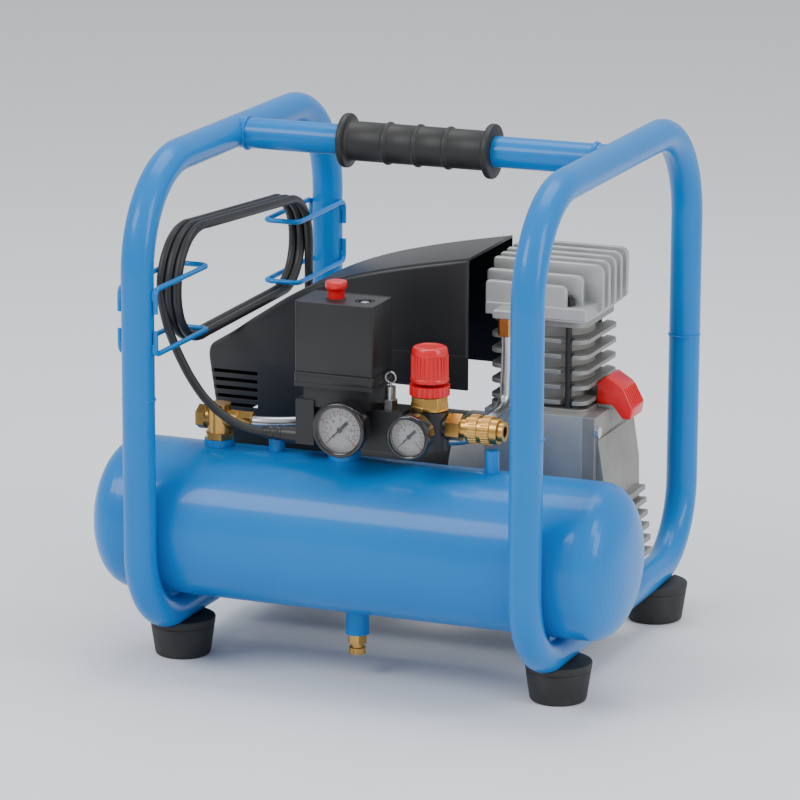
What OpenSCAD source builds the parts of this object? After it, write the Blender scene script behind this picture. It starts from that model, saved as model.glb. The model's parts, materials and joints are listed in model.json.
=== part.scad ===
// Portable oil-lubricated air compressor with a tubular carrying frame.
// X runs along the tank, Y from the gauges to the back, Z up. The floor is z = 0.

/* [Frame] */
// Distance between the planes of the two hoops
hoop_span = 374; // [368:2:450]
// Distance between the front and rear posts, centre to centre
hoop_depth = 444; // [440:2:540]
// Height of the top bar's centre above the floor
hoop_top = 475; // [455:5:580]
// Height of the lower bar's centre above the floor
hoop_low = 48; // [46:1:60]
// Outside diameter of the frame tube
tube_d = 30; // [25:1:36]
// Wall of the frame tube
tube_wall = 1.5; // [1.2:0.1:2.5]
// Radius of the upper bends on the tube's centre line
bend_top = 95; // [70:5:110]
// Radius of the lower bends on the tube's centre line
bend_bottom = 75; // [60:5:90]
// Height of the joint between the two halves of a hoop
joint_z = 265; // [240:5:285]
// Distance of the handle in front of the frame's middle
handle_offset = 5; // [0:1:20]

/* [Grip and feet] */
// Diameter of the handle's tube
handle_d = 29; // [26:0.5:29]
// Length of the rubber grip
grip_len = 150; // [110:5:180]
// Diameter of the grip's body
grip_d = 37; // [34:0.5:44]
// Diameter of the grip's end flanges
flange_d = 51; // [46:1:60]
// Diameter of a foot at its upper rim
foot_top_d = 62; // [50:1:74]
// Diameter of a foot on the floor
foot_base_d = 52; // [40:1:60]
// Distance of the front feet from the frame's middle
foot_front = 130; // [100:2:146]
// Distance of the rear feet from the frame's middle
foot_rear = 146; // [100:2:146]

/* [Tank] */
// Outside radius of the tank
tank_r = 72; // [60:1:88]
// Length of the tank's straight shell
shell_len = 446; // [400:2:540]
// Depth of a domed end
dome_depth = 37; // [30:1:50]
// Wall of the tank
tank_wall = 2; // [1.5:0.1:3]

/* [Pump] */
// Distance of the cylinder's axis to the right of the frame's middle
pump_x = 120; // [112:1:124]
// Distance of the crankshaft's axis behind the frame's middle
pump_y = 36; // [30:1:60]
// Height of the crankshaft's axis
crank_z = 160; // [156:1:170]
// Cylinder bore
bore_d = 50; // [42:1:52]
// Piston stroke
stroke = 40; // [30:1:42]
// Distance between the rod's two eyes
rod_len = 124; // [122:1:126]
// Half width of the cylinder's cooling fins
fin_half = 48; // [46:1:52]
// Number of plate fins on the head
head_fins = 7; // [5:1:7]
// Pitch of the plate fins on the head
head_pitch = 17; // [15:0.5:18]
// Outside diameter of the motor's stator
motor_d = 110; // [100:1:112]
// Diameter of the crankshaft
shaft_d = 17; // [14:1:19]

/* [Air fittings] */
// Distance of the regulator's axis to the right of the frame's middle
regulator_x = 62; // [58:1:66]
// Distance of the pressure switch's middle to the left of the frame's middle
switch_left = 21; // [19:1:30]
// Diameter of the tank gauge
tank_gauge_d = 51; // [46:1:54]
// Diameter of the line gauge
line_gauge_d = 41; // [36:1:46]
// Radius of the quick coupler's bore
coupler_bore_r = 5.1; // [4:0.1:6]

/* [Power cord] */
// Diameter of the power cord
cord_d = 8.4; // [7:0.1:8.4]
// Number of turns of cord on the hooks
cord_turns = 2.5; // [1.5:1:2.5]

/* [Hidden] */
$fn = 64;

fit = 0.05;          // running clearance on a radius
gap = 0.3;           // clearance between moving and fixed faces
tube_r = tube_d / 2;
hoop_x = hoop_span / 2;
post_y = hoop_depth / 2;
handle_y = -handle_offset;
foot_z = hoop_low - tube_r + 4;
screw_r = 4;
wire_r = 2.5;
hook_levels = [308, 368];
hook_tip = 106;
hook_end = 22;
tank_y = -post_y + tube_r + tank_r;
tank_z = hoop_low + tube_r + tank_r;
tank_top = tank_z + tank_r;
base_z = hoop_low + tube_r + 3;
base_t = 6;
base_half = 61;
case_half = 56;
case_left = pump_x - 48;
case_right = pump_x + 48;
case_top = crank_z + 76;
case_wall = 8;
spigot_r = bore_d / 2 + 5;
spigot_len = 10;
barrel_len = 86;
barrel_top = case_top + barrel_len;
plate_t = 3;
head_z = barrel_top + plate_t;
head_base = 12;
stud_x = 29;
stud_y = 42;
stud_r = 3;
crank_r = stroke / 2;
pin_z = crank_z + crank_r;
wrist_z = pin_z + rod_len;
wrist_r = 6;
crank_pin_r = 8;
web_r = 34;
web_x0 = pump_x - 24;
web_t = 12;
rod_w = 14;
shaft_r = shaft_d / 2;
bearing_r = 20;
stator_x0 = -55;
stator_x1 = 35;
stator_bore = 34.5;
bell_x = -90;
fan_x = -160;
fan_r = 52;
fan_w = 24;
shroud_y0 = pump_y - 60;
shroud_y1 = pump_y + 60;
shroud_wall = 2.5;
line_z = tank_top + 39;
gauge_y = tank_y - 55;
case_len = 27;
switch_x = -switch_left;
switch_y = tank_y - 3;
riser_z = tank_top + 8;
valve_x = -146;
pipe_z = tank_top + 25;
coil_x = -hoop_x;
coil_front = [-98, 351, 52];
coil_back = [104, 345, 45];
coil_pitch = cord_d;
lead_route = [
  [-70, -152, 228], [-86, -152, 228], [-102, -154, 229], [-118, -155, 233],
  [-134, -155, 241], [-150, -153, 252], [-164, -150, 266], [-176, -148, 283],
  [-186, -147, 302], [-193, -149, 324], [-197, -150, 351]
];
tail_x = coil_x + coil_pitch * cord_turns / 2;

// ---- shapes that several parts use ----
module x_rod(x0, x1, y, z, r)
  translate([x0, y, z]) rotate([0, 90, 0]) cylinder(h = x1 - x0, r = r);

module y_rod(x, y0, y1, z, r)
  translate([x, y0, z]) rotate([-90, 0, 0]) cylinder(h = y1 - y0, r = r);

module z_rod(x, y, z0, z1, r)
  translate([x, y, z0]) cylinder(h = z1 - z0, r = r);

module hex(z0, z1, across)
  translate([0, 0, z0]) cylinder(h = z1 - z0, r = across / sqrt(3), $fn = 6);

module block(lo, hi)
  translate(lo) cube(hi - lo);

module round_rect(x, y, r) {
  square([x - 2 * r, y], center = true);
  square([x, y - 2 * r], center = true);
  for (sx = [-1, 1], sy = [-1, 1])
    translate([sx * (x / 2 - r), sy * (y / 2 - r)]) circle(r);
}

module cog_ring(r, teeth, depth) {
  difference() {
    circle(r);
    for (i = [0:teeth - 1]) rotate(i * 360 / teeth) translate([r, 0]) circle(depth, $fn = 16);
  }
}

// A closed tube swept along a list of points, with rings square to the way.
function unit(v) = v / norm(v);
function way(p, i) = unit(p[min(i + 1, len(p) - 1)] - p[max(i - 1, 0)]);
function side(d) = unit(cross(d, abs(d[1]) > 0.9 ? [1, 0, 0] : [0, 1, 0]));
module swept_tube(p, r, sides) {
  n = len(p);
  rings = [for (i = [0:n - 1]) let (d = way(p, i), a = side(d), b = cross(a, d))
    for (k = [0:sides - 1]) p[i] + r * (cos(360 * k / sides) * a + sin(360 * k / sides) * b)];
  walls = [for (i = [0:n - 2], k = [0:sides - 1]) let (m = (k + 1) % sides)
    [i * sides + k, i * sides + m, (i + 1) * sides + m, (i + 1) * sides + k]];
  first = [[for (k = [0:sides - 1]) sides - 1 - k]];
  last = [[for (k = [0:sides - 1]) (n - 1) * sides + k]];
  polyhedron(rings, concat(walls, first, last));
}

// ---- frame ----
module half_hoop(r, rise, bend, extra) {
  for (s = [-1, 1]) {
    translate([0, s * post_y, -extra]) cylinder(h = rise - bend + extra, r = r);
    translate([0, s * (post_y - bend), rise - bend]) rotate([90, 0, s * 90])
      rotate_extrude(angle = 90) translate([bend, 0]) circle(r);
  }
  translate([0, -(post_y - bend), rise]) rotate([-90, 0, 0]) cylinder(h = 2 * (post_y - bend), r = r);
}

module upper_hoop(x) color("#1E90D2") translate([x, 0, joint_z]) difference() {
  half_hoop(tube_r, hoop_top - joint_z, bend_top, 0);
  half_hoop(tube_r - tube_wall, hoop_top - joint_z, bend_top, 1);
}

module lower_half(x, r) translate([x, 0, joint_z]) mirror([0, 0, 1])
  half_hoop(r, joint_z - hoop_low, bend_bottom, 0);

module lower_hoop(x) color("#1E90D2") difference() {
  translate([x, 0, joint_z]) mirror([0, 0, 1]) difference() {
    half_hoop(tube_r, joint_z - hoop_low, bend_bottom, 0);
    half_hoop(tube_r - tube_wall, joint_z - hoop_low, bend_bottom, 1);
  }
  for (y = [-foot_front, foot_rear]) z_rod(x, y, 0, hoop_low, screw_r);
}

module left_upper_hoop() upper_hoop(-hoop_x);
module right_upper_hoop() upper_hoop(hoop_x);
module left_lower_hoop() lower_hoop(-hoop_x);
module right_lower_hoop() lower_hoop(hoop_x);

module handle_tube() color("#1E90D2") difference() {
  x_rod(-hoop_x, hoop_x, handle_y, hoop_top, handle_d / 2);
  x_rod(-hoop_x - 1, hoop_x + 1, handle_y, hoop_top, handle_d / 2 - tube_wall);
  for (s = [-1, 1]) y_rod(s * hoop_x, handle_y - 40, handle_y + 40, hoop_top, tube_r);
}

module handle_grip() color("#161616") translate([0, handle_y, hoop_top]) rotate([0, 90, 0])
  difference() {
    union() {
      cylinder(h = grip_len, r = grip_d / 2, center = true);
      for (s = [-1, 1]) translate([0, 0, s * (grip_len / 2 - 3)])
        cylinder(h = 6, r = flange_d / 2, center = true);
      for (i = [-1:1]) translate([0, 0, i * grip_len / 5])
        cylinder(h = 3, r = grip_d / 2 + 1.5, center = true);
    }
    cylinder(h = grip_len + 2, r = handle_d / 2, center = true);
  }

module hook(s, z, way) difference() {
  union() {
    for (sx = [-1, 1]) {
      x = -hoop_x + sx * (tube_r + wire_r);
      z_rod(x, s * post_y, min(z, z + way * hook_end), max(z, z + way * hook_end), wire_r);
      y_rod(x, min(s * post_y, s * hook_tip), max(s * post_y, s * hook_tip), z, wire_r);
      for (y = [post_y, hook_tip]) translate([x, s * y, z]) sphere(wire_r, $fn = 24);
    }
    x_rod(-hoop_x - tube_r - wire_r, -hoop_x + tube_r + wire_r, s * hook_tip, z, wire_r);
  }
  z_rod(-hoop_x, s * post_y, z - hook_end - 10, z + hook_end + 10, tube_r);
}

module cord_hooks() color("#1E90D2") for (s = [-1, 1]) {
  hook(s, hook_levels[0], 1);
  hook(s, hook_levels[1], -1);
}

module foot(x, y) difference() {
  translate([x, y, 0]) rotate_extrude() polygon([
    [0, 0], [foot_base_d / 2 - 2, 0], [foot_base_d / 2, 2], [foot_top_d / 2, foot_z - 8],
    [foot_top_d / 2, foot_z - 3], [foot_top_d / 2 - 3, foot_z], [0, foot_z]]);
  y_rod(x, y - 50, y + 50, hoop_low, tube_r);
  z_rod(x, y, -1, foot_z + 1, screw_r);
  z_rod(x, y, -1, 12, 11);
}

module rubber_feet() color("#1C1C1C")
  for (s = [-1, 1], y = [-foot_front, foot_rear]) foot(s * hoop_x, y);

module foot_screws() color("silver") for (s = [-1, 1], y = [-foot_front, foot_rear]) {
  z_rod(s * hoop_x, y, 5, hoop_low, screw_r);
  difference() {
    z_rod(s * hoop_x, y, 5, 12, 9);
    translate([s * hoop_x, y, 0]) hex(4, 9, 6);
    z_rod(s * hoop_x, y, 9, 13, screw_r - 0.5);
  }
}

// ---- tank ----
module tank_shell() color("#1E90D2") difference() {
  x_rod(-shell_len / 2, shell_len / 2, tank_y, tank_z, tank_r);
  x_rod(-shell_len / 2 - 1, shell_len / 2 + 1, tank_y, tank_z, tank_r - tank_wall);
  z_rod(valve_x, tank_y, tank_z, tank_top + 2, 6);
  z_rod(switch_x, tank_y, tank_z, tank_top + 2, 6);
  z_rod(-8, tank_y, tank_z - tank_r - 2, tank_z, 5);
}

dome_steps = 14;
module dome_shape(r, depth) rotate_extrude() polygon(concat(
  [[0, 0]], [for (i = [0:dome_steps]) let (a = 90 * i / dome_steps)
    [r * pow(cos(a), 0.86), depth * pow(sin(a), 0.9)]]));

module tank_end(s) translate([s * shell_len / 2, tank_y, tank_z]) rotate([0, s * 90, 0])
  difference() {
    dome_shape(tank_r, dome_depth);
    translate([0, 0, -0.01]) dome_shape(tank_r - tank_wall, dome_depth - tank_wall);
  }

module tank_ends() color("#1E90D2") for (s = [-1, 1]) tank_end(s);

module boss(x, r, z1, hole) difference() {
  z_rod(x, tank_y, tank_z + tank_r - 12, z1, r);
  x_rod(x - 40, x + 40, tank_y, tank_z, tank_r);
  if (hole > 0) z_rod(x, tank_y, tank_z, z1 + 1, hole);
}

module weld_webs(x) for (s = [-1, 1]) {
  difference() {
    translate([x - 4, tank_y + (s > 0 ? 9 : -31), hoop_low]) cube([8, 22, 34]);
    x_rod(x - 40, x + 40, tank_y, tank_z, tank_r);
    lower_half(x, tube_r);
  }
  difference() {
    translate([x - 4, -post_y, tank_z + (s > 0 ? 9 : -31)]) cube([8, 32, 22]);
    x_rod(x - 40, x + 40, tank_y, tank_z, tank_r);
    lower_half(x, tube_r);
  }
}

module tank_bosses() color("#1E90D2") {
  boss(valve_x, 14, tank_top + 6, 6);
  boss(-88, 7.5, tank_top + 17, 0);
  boss(switch_x, 15, riser_z, 6);
  boss(123, 6.5, tank_top + 21, 0);
  difference() {
    z_rod(-8, tank_y, tank_z - tank_r - 22, tank_z - tank_r + 8, 11);
    x_rod(-60, 60, tank_y, tank_z, tank_r);
    z_rod(-8, tank_y, 0, tank_z, 5);
  }
  for (s = [-1, 1]) weld_webs(s * hoop_x);
}

drain_z = tank_z - tank_r - 22;
module drain_valve_body() color("#B5883C") translate([-8, tank_y, 0]) difference() {
  union() {
    hex(drain_z - 9, drain_z, 16);
    z_rod(0, 0, drain_z, drain_z + 12, 5);
    z_rod(0, 0, drain_z - 13, drain_z - 9, 6);
  }
  z_rod(0, 0, drain_z - 14, drain_z + 13, 2.5);
}

module drain_screw() color("#C79A4A") translate([-8, tank_y, drain_z - 19]) difference() {
  union() {
    linear_extrude(6 - gap) cog_ring(8, 12, 1);
    z_rod(0, 0, 5, 14, 2.5 - fit);
  }
  z_rod(0, 0, -1, 10, 1);
}

// ---- pump ----
module base_plate() color("#2A2A2A") difference() {
  block([-hoop_x - 4, pump_y - base_half, base_z - base_t], [hoop_x + 4, pump_y + base_half, base_z]);
  for (s = [-1, 1]) y_rod(s * hoop_x, -base_half, pump_y + base_half + 40, hoop_low, tube_r);
  for (x = [-120, -30]) block([x, pump_y - 40, base_z - base_t - 1], [x + 60, pump_y + 40, base_z + 1]);
  bolt_places() z_rod(0, 0, -30, 40, 3);
}

module bolt_places() for (x = [case_left + 16, case_right - 16], s = [-1, 1])
  translate([x, pump_y + s * (case_half - 14), base_z]) children();

module cover_bolt_places() for (s = [-1, 1], z = [base_z + 22, case_top - 14])
  translate([case_right, pump_y + s * (case_half - 4), z]) rotate([0, 90, 0]) children();

module hex_bolt(len) {
  cylinder(h = len, r = 3);
  hex(len, len + 4, 10);
}

module case_bolts() color("silver") {
  bolt_places() translate([0, 0, 8]) mirror([0, 0, 1]) {
    translate([0, 0, 0]) cylinder(h = 14, r = 3);
    translate([0, 0, 14]) hex(0, 4, 10);
  }
  cover_bolt_places() translate([0, 0, -10]) hex_bolt(22);
}

module crankcase() color("#B9BAB6") difference() {
  union() {
    block([case_left, pump_y - case_half, base_z], [case_right, pump_y + case_half, case_top]);
    x_rod(stator_x1, case_left + 1, pump_y, crank_z, motor_d / 2 + 1);
  }
  block([case_left + 12, pump_y - case_half + case_wall, base_z + 8],
    [case_right + 1, pump_y + case_half - case_wall, case_top - 8]);
  x_rod(stator_x1 - 1, case_left, pump_y, crank_z, motor_d / 2 - 4);
  x_rod(case_left - 1, case_left + 13, pump_y, crank_z, bearing_r);
  z_rod(pump_x, pump_y, case_top - 20, case_top + 1, spigot_r);
  bolt_places() z_rod(0, 0, -1, 8, 3);
  cover_bolt_places() z_rod(0, 0, -10, 1, 3);
  stud_places() z_rod(0, 0, case_top - 12, case_top + 1, stud_r);
}

module stud_places() for (sx = [-1, 1], sy = [-1, 1])
  translate([pump_x + sx * stud_x, pump_y + sy * stud_y, 0]) children();

cover_t = 12;
module crankcase_cover() color("#A3A49F") difference() {
  union() {
    block([case_right, pump_y - case_half, base_z], [case_right + cover_t, pump_y + case_half, case_top]);
    translate([case_right + cover_t, pump_y + case_half - 5, 0]) rotate([90, 0, 0])
      linear_extrude(2 * case_half - 10)
        polygon([[0, base_z + 6], [10, base_z + 12], [8, case_top - 60], [2, case_top - 22], [0, case_top - 22]]);
    for (i = [0:5]) translate([case_right + cover_t, pump_y - case_half + 6, base_z + 18 + 12 * i])
      cube([23 - 1.6 * i, 2 * case_half - 12, 5]);
  }
  cover_bolt_places() {
    z_rod(0, 0, -1, cover_t + 1, 3);
    z_rod(0, 0, cover_t, cover_t + 12, 7);
  }
  z_rod(bracket_x, pump_y, case_top - 12, case_top + 1, 4);
}

module barrel_fin(z) translate([pump_x, pump_y, z]) linear_extrude(3.5)
  round_rect(2 * fin_half, 2 * fin_half, 13);

module cylinder_barrel() color("#9A9C98") difference() {
  union() {
    z_rod(pump_x, pump_y, case_top - spigot_len, barrel_top, spigot_r);
    z_rod(pump_x, pump_y, case_top, barrel_top, spigot_r + 8);
    for (i = [0:4]) barrel_fin(case_top + 8 + 14.5 * i);
    translate([pump_x, pump_y, case_top]) linear_extrude(4) round_rect(2 * fin_half, 2 * fin_half, 13);
    translate([pump_x, pump_y, barrel_top - 5]) linear_extrude(5)
      round_rect(2 * fin_half - 4, 2 * fin_half - 4, 13);
  }
  z_rod(pump_x, pump_y, case_top - spigot_len - 1, barrel_top + 1, bore_d / 2);
  stud_places() z_rod(0, 0, case_top - 1, barrel_top + 1, stud_r);
  stud_places() z_rod(0, 0, case_top + 4, barrel_top - 5, 6);
  for (sx = [-1, 1], sy = [-1, 1]) translate([pump_x + sx * stud_x, pump_y + sy * (stud_y + 5), case_top + 4])
    linear_extrude(barrel_len - 9) square([12, 10], center = true);
}

module valve_plate() color("#8E8F92") difference() {
  translate([pump_x, pump_y, barrel_top]) linear_extrude(plate_t)
    round_rect(2 * fin_half - 4, 2 * fin_half - 4, 13);
  stud_places() z_rod(0, 0, barrel_top - 1, head_z + 1, stud_r);
  for (i = [-1:1]) z_rod(pump_x - 12, pump_y + 9 * i, barrel_top - 1, head_z + 1, 3);
  for (i = [-1:1]) z_rod(pump_x + 12, pump_y + 9 * i, barrel_top - 1, head_z + 1, 3);
}

// Ends and height of the head's plate fin number i, counted from the front.
function fin_left(i) = pump_x - (i == 0 ? 49 : 54);
function fin_right(i) = pump_x + (i == 0 ? 30 : i == 1 ? 40 : 54);
function fin_top(i) = head_z + 32 + (i == 0 ? 0 : i == 1 ? 7 : 13 + i);
function fin_y(i) = pump_y + (i - (head_fins - 1) / 2) * head_pitch;

module cylinder_head() color("#A9ABA8") difference() {
  union() {
    block([pump_x - 49, pump_y - fin_half - 6, head_z], [pump_x + 49, pump_y + fin_half + 4, head_z + head_base]);
    for (i = [0:head_fins - 1]) block([fin_left(i), fin_y(i) - 2.75, head_z],
      [fin_right(i), fin_y(i) + 2.75, fin_top(i)]);
    block([pump_x - 36, pump_y - fin_half - 22, head_z], [pump_x - 14, pump_y - fin_half, head_z + 8]);
  }
  stud_places() z_rod(0, 0, head_z + head_base, head_z + head_base + 40, 8);
  stud_places() z_rod(0, 0, head_z - 1, head_z + head_base + 1, stud_r);
  for (s = [-1, 1]) block([pump_x - 20 + s * 18, pump_y - 20, head_z - 1], [pump_x + 4 + s * 14, pump_y + 20, head_z + 8]);
}

module head_studs() color("#3A3A3C") stud_places() {
  z_rod(0, 0, case_top - 12, head_z + head_base + 9, stud_r);
  hex(head_z + head_base, head_z + head_base + 6, 10);
}

module piston() color("#C4C5C7") difference() {
  z_rod(pump_x, pump_y, wrist_z - 16, wrist_z + 17.5, bore_d / 2 - fit);
  z_rod(pump_x, pump_y, wrist_z - 17, wrist_z + 11, bore_d / 2 - 5);
  x_rod(pump_x - 30, pump_x + 30, pump_y, wrist_z, wrist_r);
  for (i = [0:1]) difference() {
    z_rod(pump_x, pump_y, wrist_z + 9 + 4 * i, wrist_z + 10.2 + 4 * i, bore_d / 2 + 1);
    z_rod(pump_x, pump_y, wrist_z + 8 + 4 * i, wrist_z + 12 + 4 * i, bore_d / 2 - 1.2);
  }
}

module wrist_pin() color("#808284")
  x_rod(pump_x - bore_d / 2 + 1, pump_x + bore_d / 2 - 1, pump_y, wrist_z, wrist_r);

module connecting_rod() color("#9FA0A2") {
  difference() {
    union() {
      x_rod(pump_x - rod_w / 2, pump_x + rod_w / 2, pump_y, wrist_z, 10);
      x_rod(pump_x - rod_w / 2, pump_x + rod_w / 2, pump_y, pin_z, 16);
      block([pump_x - 4, pump_y - 6, pin_z + 12], [pump_x + 4, pump_y + 6, wrist_z - 8]);
    }
    x_rod(pump_x - rod_w, pump_x + rod_w, pump_y, wrist_z, wrist_r + fit);
    x_rod(pump_x - rod_w, pump_x + rod_w, pump_y, pin_z, crank_pin_r);
  }
  x_rod(web_x0 + web_t + gap, pump_x + rod_w / 2 + 3, pump_y, pin_z, crank_pin_r);
}

module crankshaft() color("#7D7F82") difference() {
  union() {
    x_rod(fan_x - 6, web_x0 + 1, pump_y, crank_z, shaft_r);
    x_rod(web_x0, web_x0 + web_t, pump_y, crank_z, web_r);
  }
  for (s = [-1, 1]) x_rod(web_x0 - 1, web_x0 + web_t + 1, pump_y + s * 22, crank_z + 12, 7);
}

module bearing(x0, x1) difference() {
  x_rod(x0, x1, pump_y, crank_z, bearing_r);
  x_rod(x0 - 1, x1 + 1, pump_y, crank_z, shaft_r + fit);
}

module main_bearings() color("#8A8C90") {
  bearing(case_left, case_left + 12);
  bearing(bell_x, bell_x + 12);
}

// Red breather cover on its bracket at the crankcase's upper right corner.
cap_x = case_right + 4;
bracket_x = case_right + 6;
intake_left = max(case_right, pump_x + fin_half);
module filter_cover() color("#D8232A") difference() {
  union() {
    translate([cap_x, pump_y + 15, case_top - 6]) rotate([90, 0, 0]) linear_extrude(34)
      polygon([[-8, 8], [-4, 30], [6, 38], [22, 28], [32, 8], [30, -2], [22, -2], [14, 8], [2, 10], [-4, 6]]);
    for (i = [0:6]) translate([cap_x + 20, pump_y - 17.5 + 4.5 * i, case_top + 9]) rotate([0, 40, 0])
      cube([6, 2, 20], center = true);
  }
  block([cap_x - 30, pump_y - 30, case_top - 30], [cap_x + 14, pump_y + 30, case_top + 4]);
  block([cap_x - 30, pump_y - 30, case_top], [intake_left + gap, pump_y + 30, case_top + 60]);
}

module filter_bracket() color("#8F9194") {
  z_rod(bracket_x, pump_y, case_top - 12, case_top + 4, 4);
  difference() {
    block([intake_left, pump_y - 14, case_top], [case_right + 17, pump_y + 12, case_top + 4]);
    z_rod(bracket_x, pump_y, case_top - 1, case_top + 5, 4);
  }
}

// ---- motor ----
module motor_stator() color("#3B3C3E") difference() {
  x_rod(stator_x0, stator_x1, pump_y, crank_z, motor_d / 2);
  x_rod(stator_x0 - 1, stator_x1 + 1, pump_y, crank_z, stator_bore);
}

module motor_windings() color("#A5602B") for (x = [stator_x0 - 16, stator_x1]) difference() {
  x_rod(x, x + 16, pump_y, crank_z, motor_d / 2 - 8);
  x_rod(x - 1, x + 17, pump_y, crank_z, stator_bore + 2);
}

module motor_rotor() color("#77797C") difference() {
  x_rod(stator_x0 + 3, stator_x1 - 3, pump_y, crank_z, stator_bore - 0.5);
  x_rod(stator_x0, stator_x1, pump_y, crank_z, shaft_r);
}

module motor_end_bell() color("#A9ABAE") difference() {
  x_rod(bell_x, stator_x0, pump_y, crank_z, motor_d / 2 + 1);
  x_rod(bell_x + 12, stator_x0 + 1, pump_y, crank_z, motor_d / 2 - 4);
  x_rod(bell_x - 1, bell_x + 13, pump_y, crank_z, bearing_r);
}

module cooling_fan() color("#202122") translate([fan_x, pump_y, crank_z]) rotate([0, 90, 0])
  difference() {
    union() {
      cylinder(h = fan_w, r = 18);
      cylinder(h = 2, r = fan_r - 6);
      for (i = [0:7]) rotate(i * 45) translate([12, -1.25, 0]) cube([fan_r - 12, 2.5, fan_w]);
    }
    translate([0, 0, -1]) cylinder(h = fan_w + 2, r = shaft_r);
  }

// Side outline of the shroud: w is how far the outline is set inside.
shroud_left = -208;
shroud_right = pump_x - 63;
duct_left = -70;
duct_z = 251;
function shroud_outline(w) = [
  [shroud_left + 14 + w, base_z - (w > 0 ? 1 : 0)], [shroud_left + 7 + w, 217], [shroud_left + w, 262 - w / 2],
  [shroud_left + 2 + w, 272 - w], [-180, 288 - w], [-165, 299 - w], [-120, 329 - w],
  [-90, 342 - w], [-60, 352 - w], [-20, 362 - w], [14, 369 - w],
  [shroud_right + (w > 0 ? 1 : 0), 377 - w], [shroud_right + (w > 0 ? 1 : 0), duct_z - (w > 0 ? 1 : 0)],
  [duct_left - w, duct_z - (w > 0 ? 1 : 0)], [duct_left - w, base_z - (w > 0 ? 1 : 0)]
];

module motor_shroud() color("#1B1B1C") difference() {
  translate([0, shroud_y1, 0]) rotate([90, 0, 0]) linear_extrude(shroud_y1 - shroud_y0)
    polygon(shroud_outline(0));
  translate([0, shroud_y1 - shroud_wall, 0]) rotate([90, 0, 0])
    linear_extrude(shroud_y1 - shroud_y0 - 2 * shroud_wall) polygon(shroud_outline(shroud_wall));
  for (i = [0:4]) {
    block([shroud_left - 1, shroud_y0 - 1, 214 + 8 * i], [shroud_left + 52, shroud_y0 + 3.5, 217.5 + 8 * i]);
    block([shroud_left - 1, shroud_y0 + 14, 120 + 16 * i], [shroud_left + 20, shroud_y1 - 14, 128 + 16 * i]);
  }
  x_rod(duct_left - 4, duct_left + 1, pump_y, crank_z, motor_d / 2 + 1 + gap);
}

// ---- air fittings ----
module check_valve_body() color("#B5883C") translate([valve_x, tank_y, 0]) {
  difference() {
    union() {
      translate([0, 0, tank_top]) hex(6, 12, 24);
      z_rod(0, 0, tank_top - 4, tank_top + 6, 6);
      z_rod(0, 0, tank_top + 12, pipe_z + 14, 11);
      x_rod(-12, 20, 0, pipe_z, 9);
    }
    z_rod(0, 0, tank_top - 5, pipe_z + 4, 4);
    x_rod(-13, 21, 0, pipe_z, 5);
  }
  translate([-12, 0, pipe_z]) rotate([0, -90, 0]) hex(0, 8, 20);
}

module check_valve_disc() color("#C9A25A") x_rod(valve_x - 10, valve_x - 7, tank_y, pipe_z, 5 - fit);

pipe_r = 5;
head_port = [pump_x - 25, pump_y - fin_half - 13, head_z];
pipe_route = [
  [valve_x + 22, tank_y, pipe_z], [valve_x + 42, tank_y + 1, pipe_z], [valve_x + 62, tank_y + 8, pipe_z],
  [valve_x + 82, tank_y + 20, pipe_z], [-40, tank_y + 33, pipe_z], [-15, tank_y + 38, pipe_z - 1],
  [15, tank_y + 39, pipe_z - 4], [45, tank_y + 38, pipe_z - 8], [70, tank_y + 42, pipe_z - 10],
  [86, tank_y + 52, pipe_z - 6], [94, tank_y + 68, pipe_z + 6], head_port + [0, -6, -78],
  head_port + [0, -2, -60], head_port + [0, 0, -42], head_port + [0, 0, -16]
];
module discharge_tube() color("#C8CACC") swept_tube(pipe_route, pipe_r, 12);

module tube_nuts() color("#B5883C") {
  translate([valve_x + 20, tank_y, pipe_z]) rotate([0, 90, 0]) difference() {
    hex(0, 14, 15);
    z_rod(0, 0, 2, 15, pipe_r);
  }
  translate([head_port[0], head_port[1], head_port[2] - 17]) difference() {
    hex(0, 17, 15);
    z_rod(0, 0, -1, 15, pipe_r);
  }
}

module manifold() color("#2B2B2D") difference() {
  union() {
    block([switch_x - 20, tank_y - 16, riser_z + 6], [regulator_x - 20, tank_y + 14, line_z + 12]);
    z_rod(switch_x, tank_y, riser_z, riser_z + 6, 12);
    z_rod(switch_x, tank_y, riser_z - 8, riser_z, 6);
    y_rod(-5, gauge_y + case_len, tank_y - 16, line_z, 7);
  }
  z_rod(switch_x, tank_y, riser_z - 9, line_z, 4);
  x_rod(switch_x, regulator_x - 19, tank_y, line_z, 4);
}

switch_z = line_z + 12;
cover_z = tank_top + 74;
cover_top = tank_top + 149;
module switch_base() color("#222223") {
  block([switch_x - 31, switch_y - 20, switch_z], [switch_x + 33, switch_y + 24, cover_z - 4]);
  translate([switch_x, switch_y, cover_z - 4]) linear_extrude(4) round_rect(78, 50, 3);
  block([switch_x - 38, switch_y - 22, switch_z - 36], [switch_x - 20, switch_y + 18, switch_z + 6]);
}

module switch_cover() color("#1A1A1B") difference() {
  translate([switch_x, switch_y, cover_z]) linear_extrude(cover_top - cover_z)
    round_rect(78, 50, 3);
  translate([switch_x, switch_y, cover_z - 1]) linear_extrude(cover_top - cover_z - 3)
    round_rect(72, 44, 2);
  z_rod(switch_x - 7, switch_y, cover_top - 10, cover_top + 1, 8.5);
  z_rod(switch_x + 21, switch_y, cover_top - 1, cover_top + 1, 9);
}

module switch_knob() color("#E8212E") {
  z_rod(switch_x - 7, switch_y, cover_top - 12, cover_top + 13, 7.5);
  z_rod(switch_x - 7, switch_y, cover_top + 9, cover_top + 16, 10);
}

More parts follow.
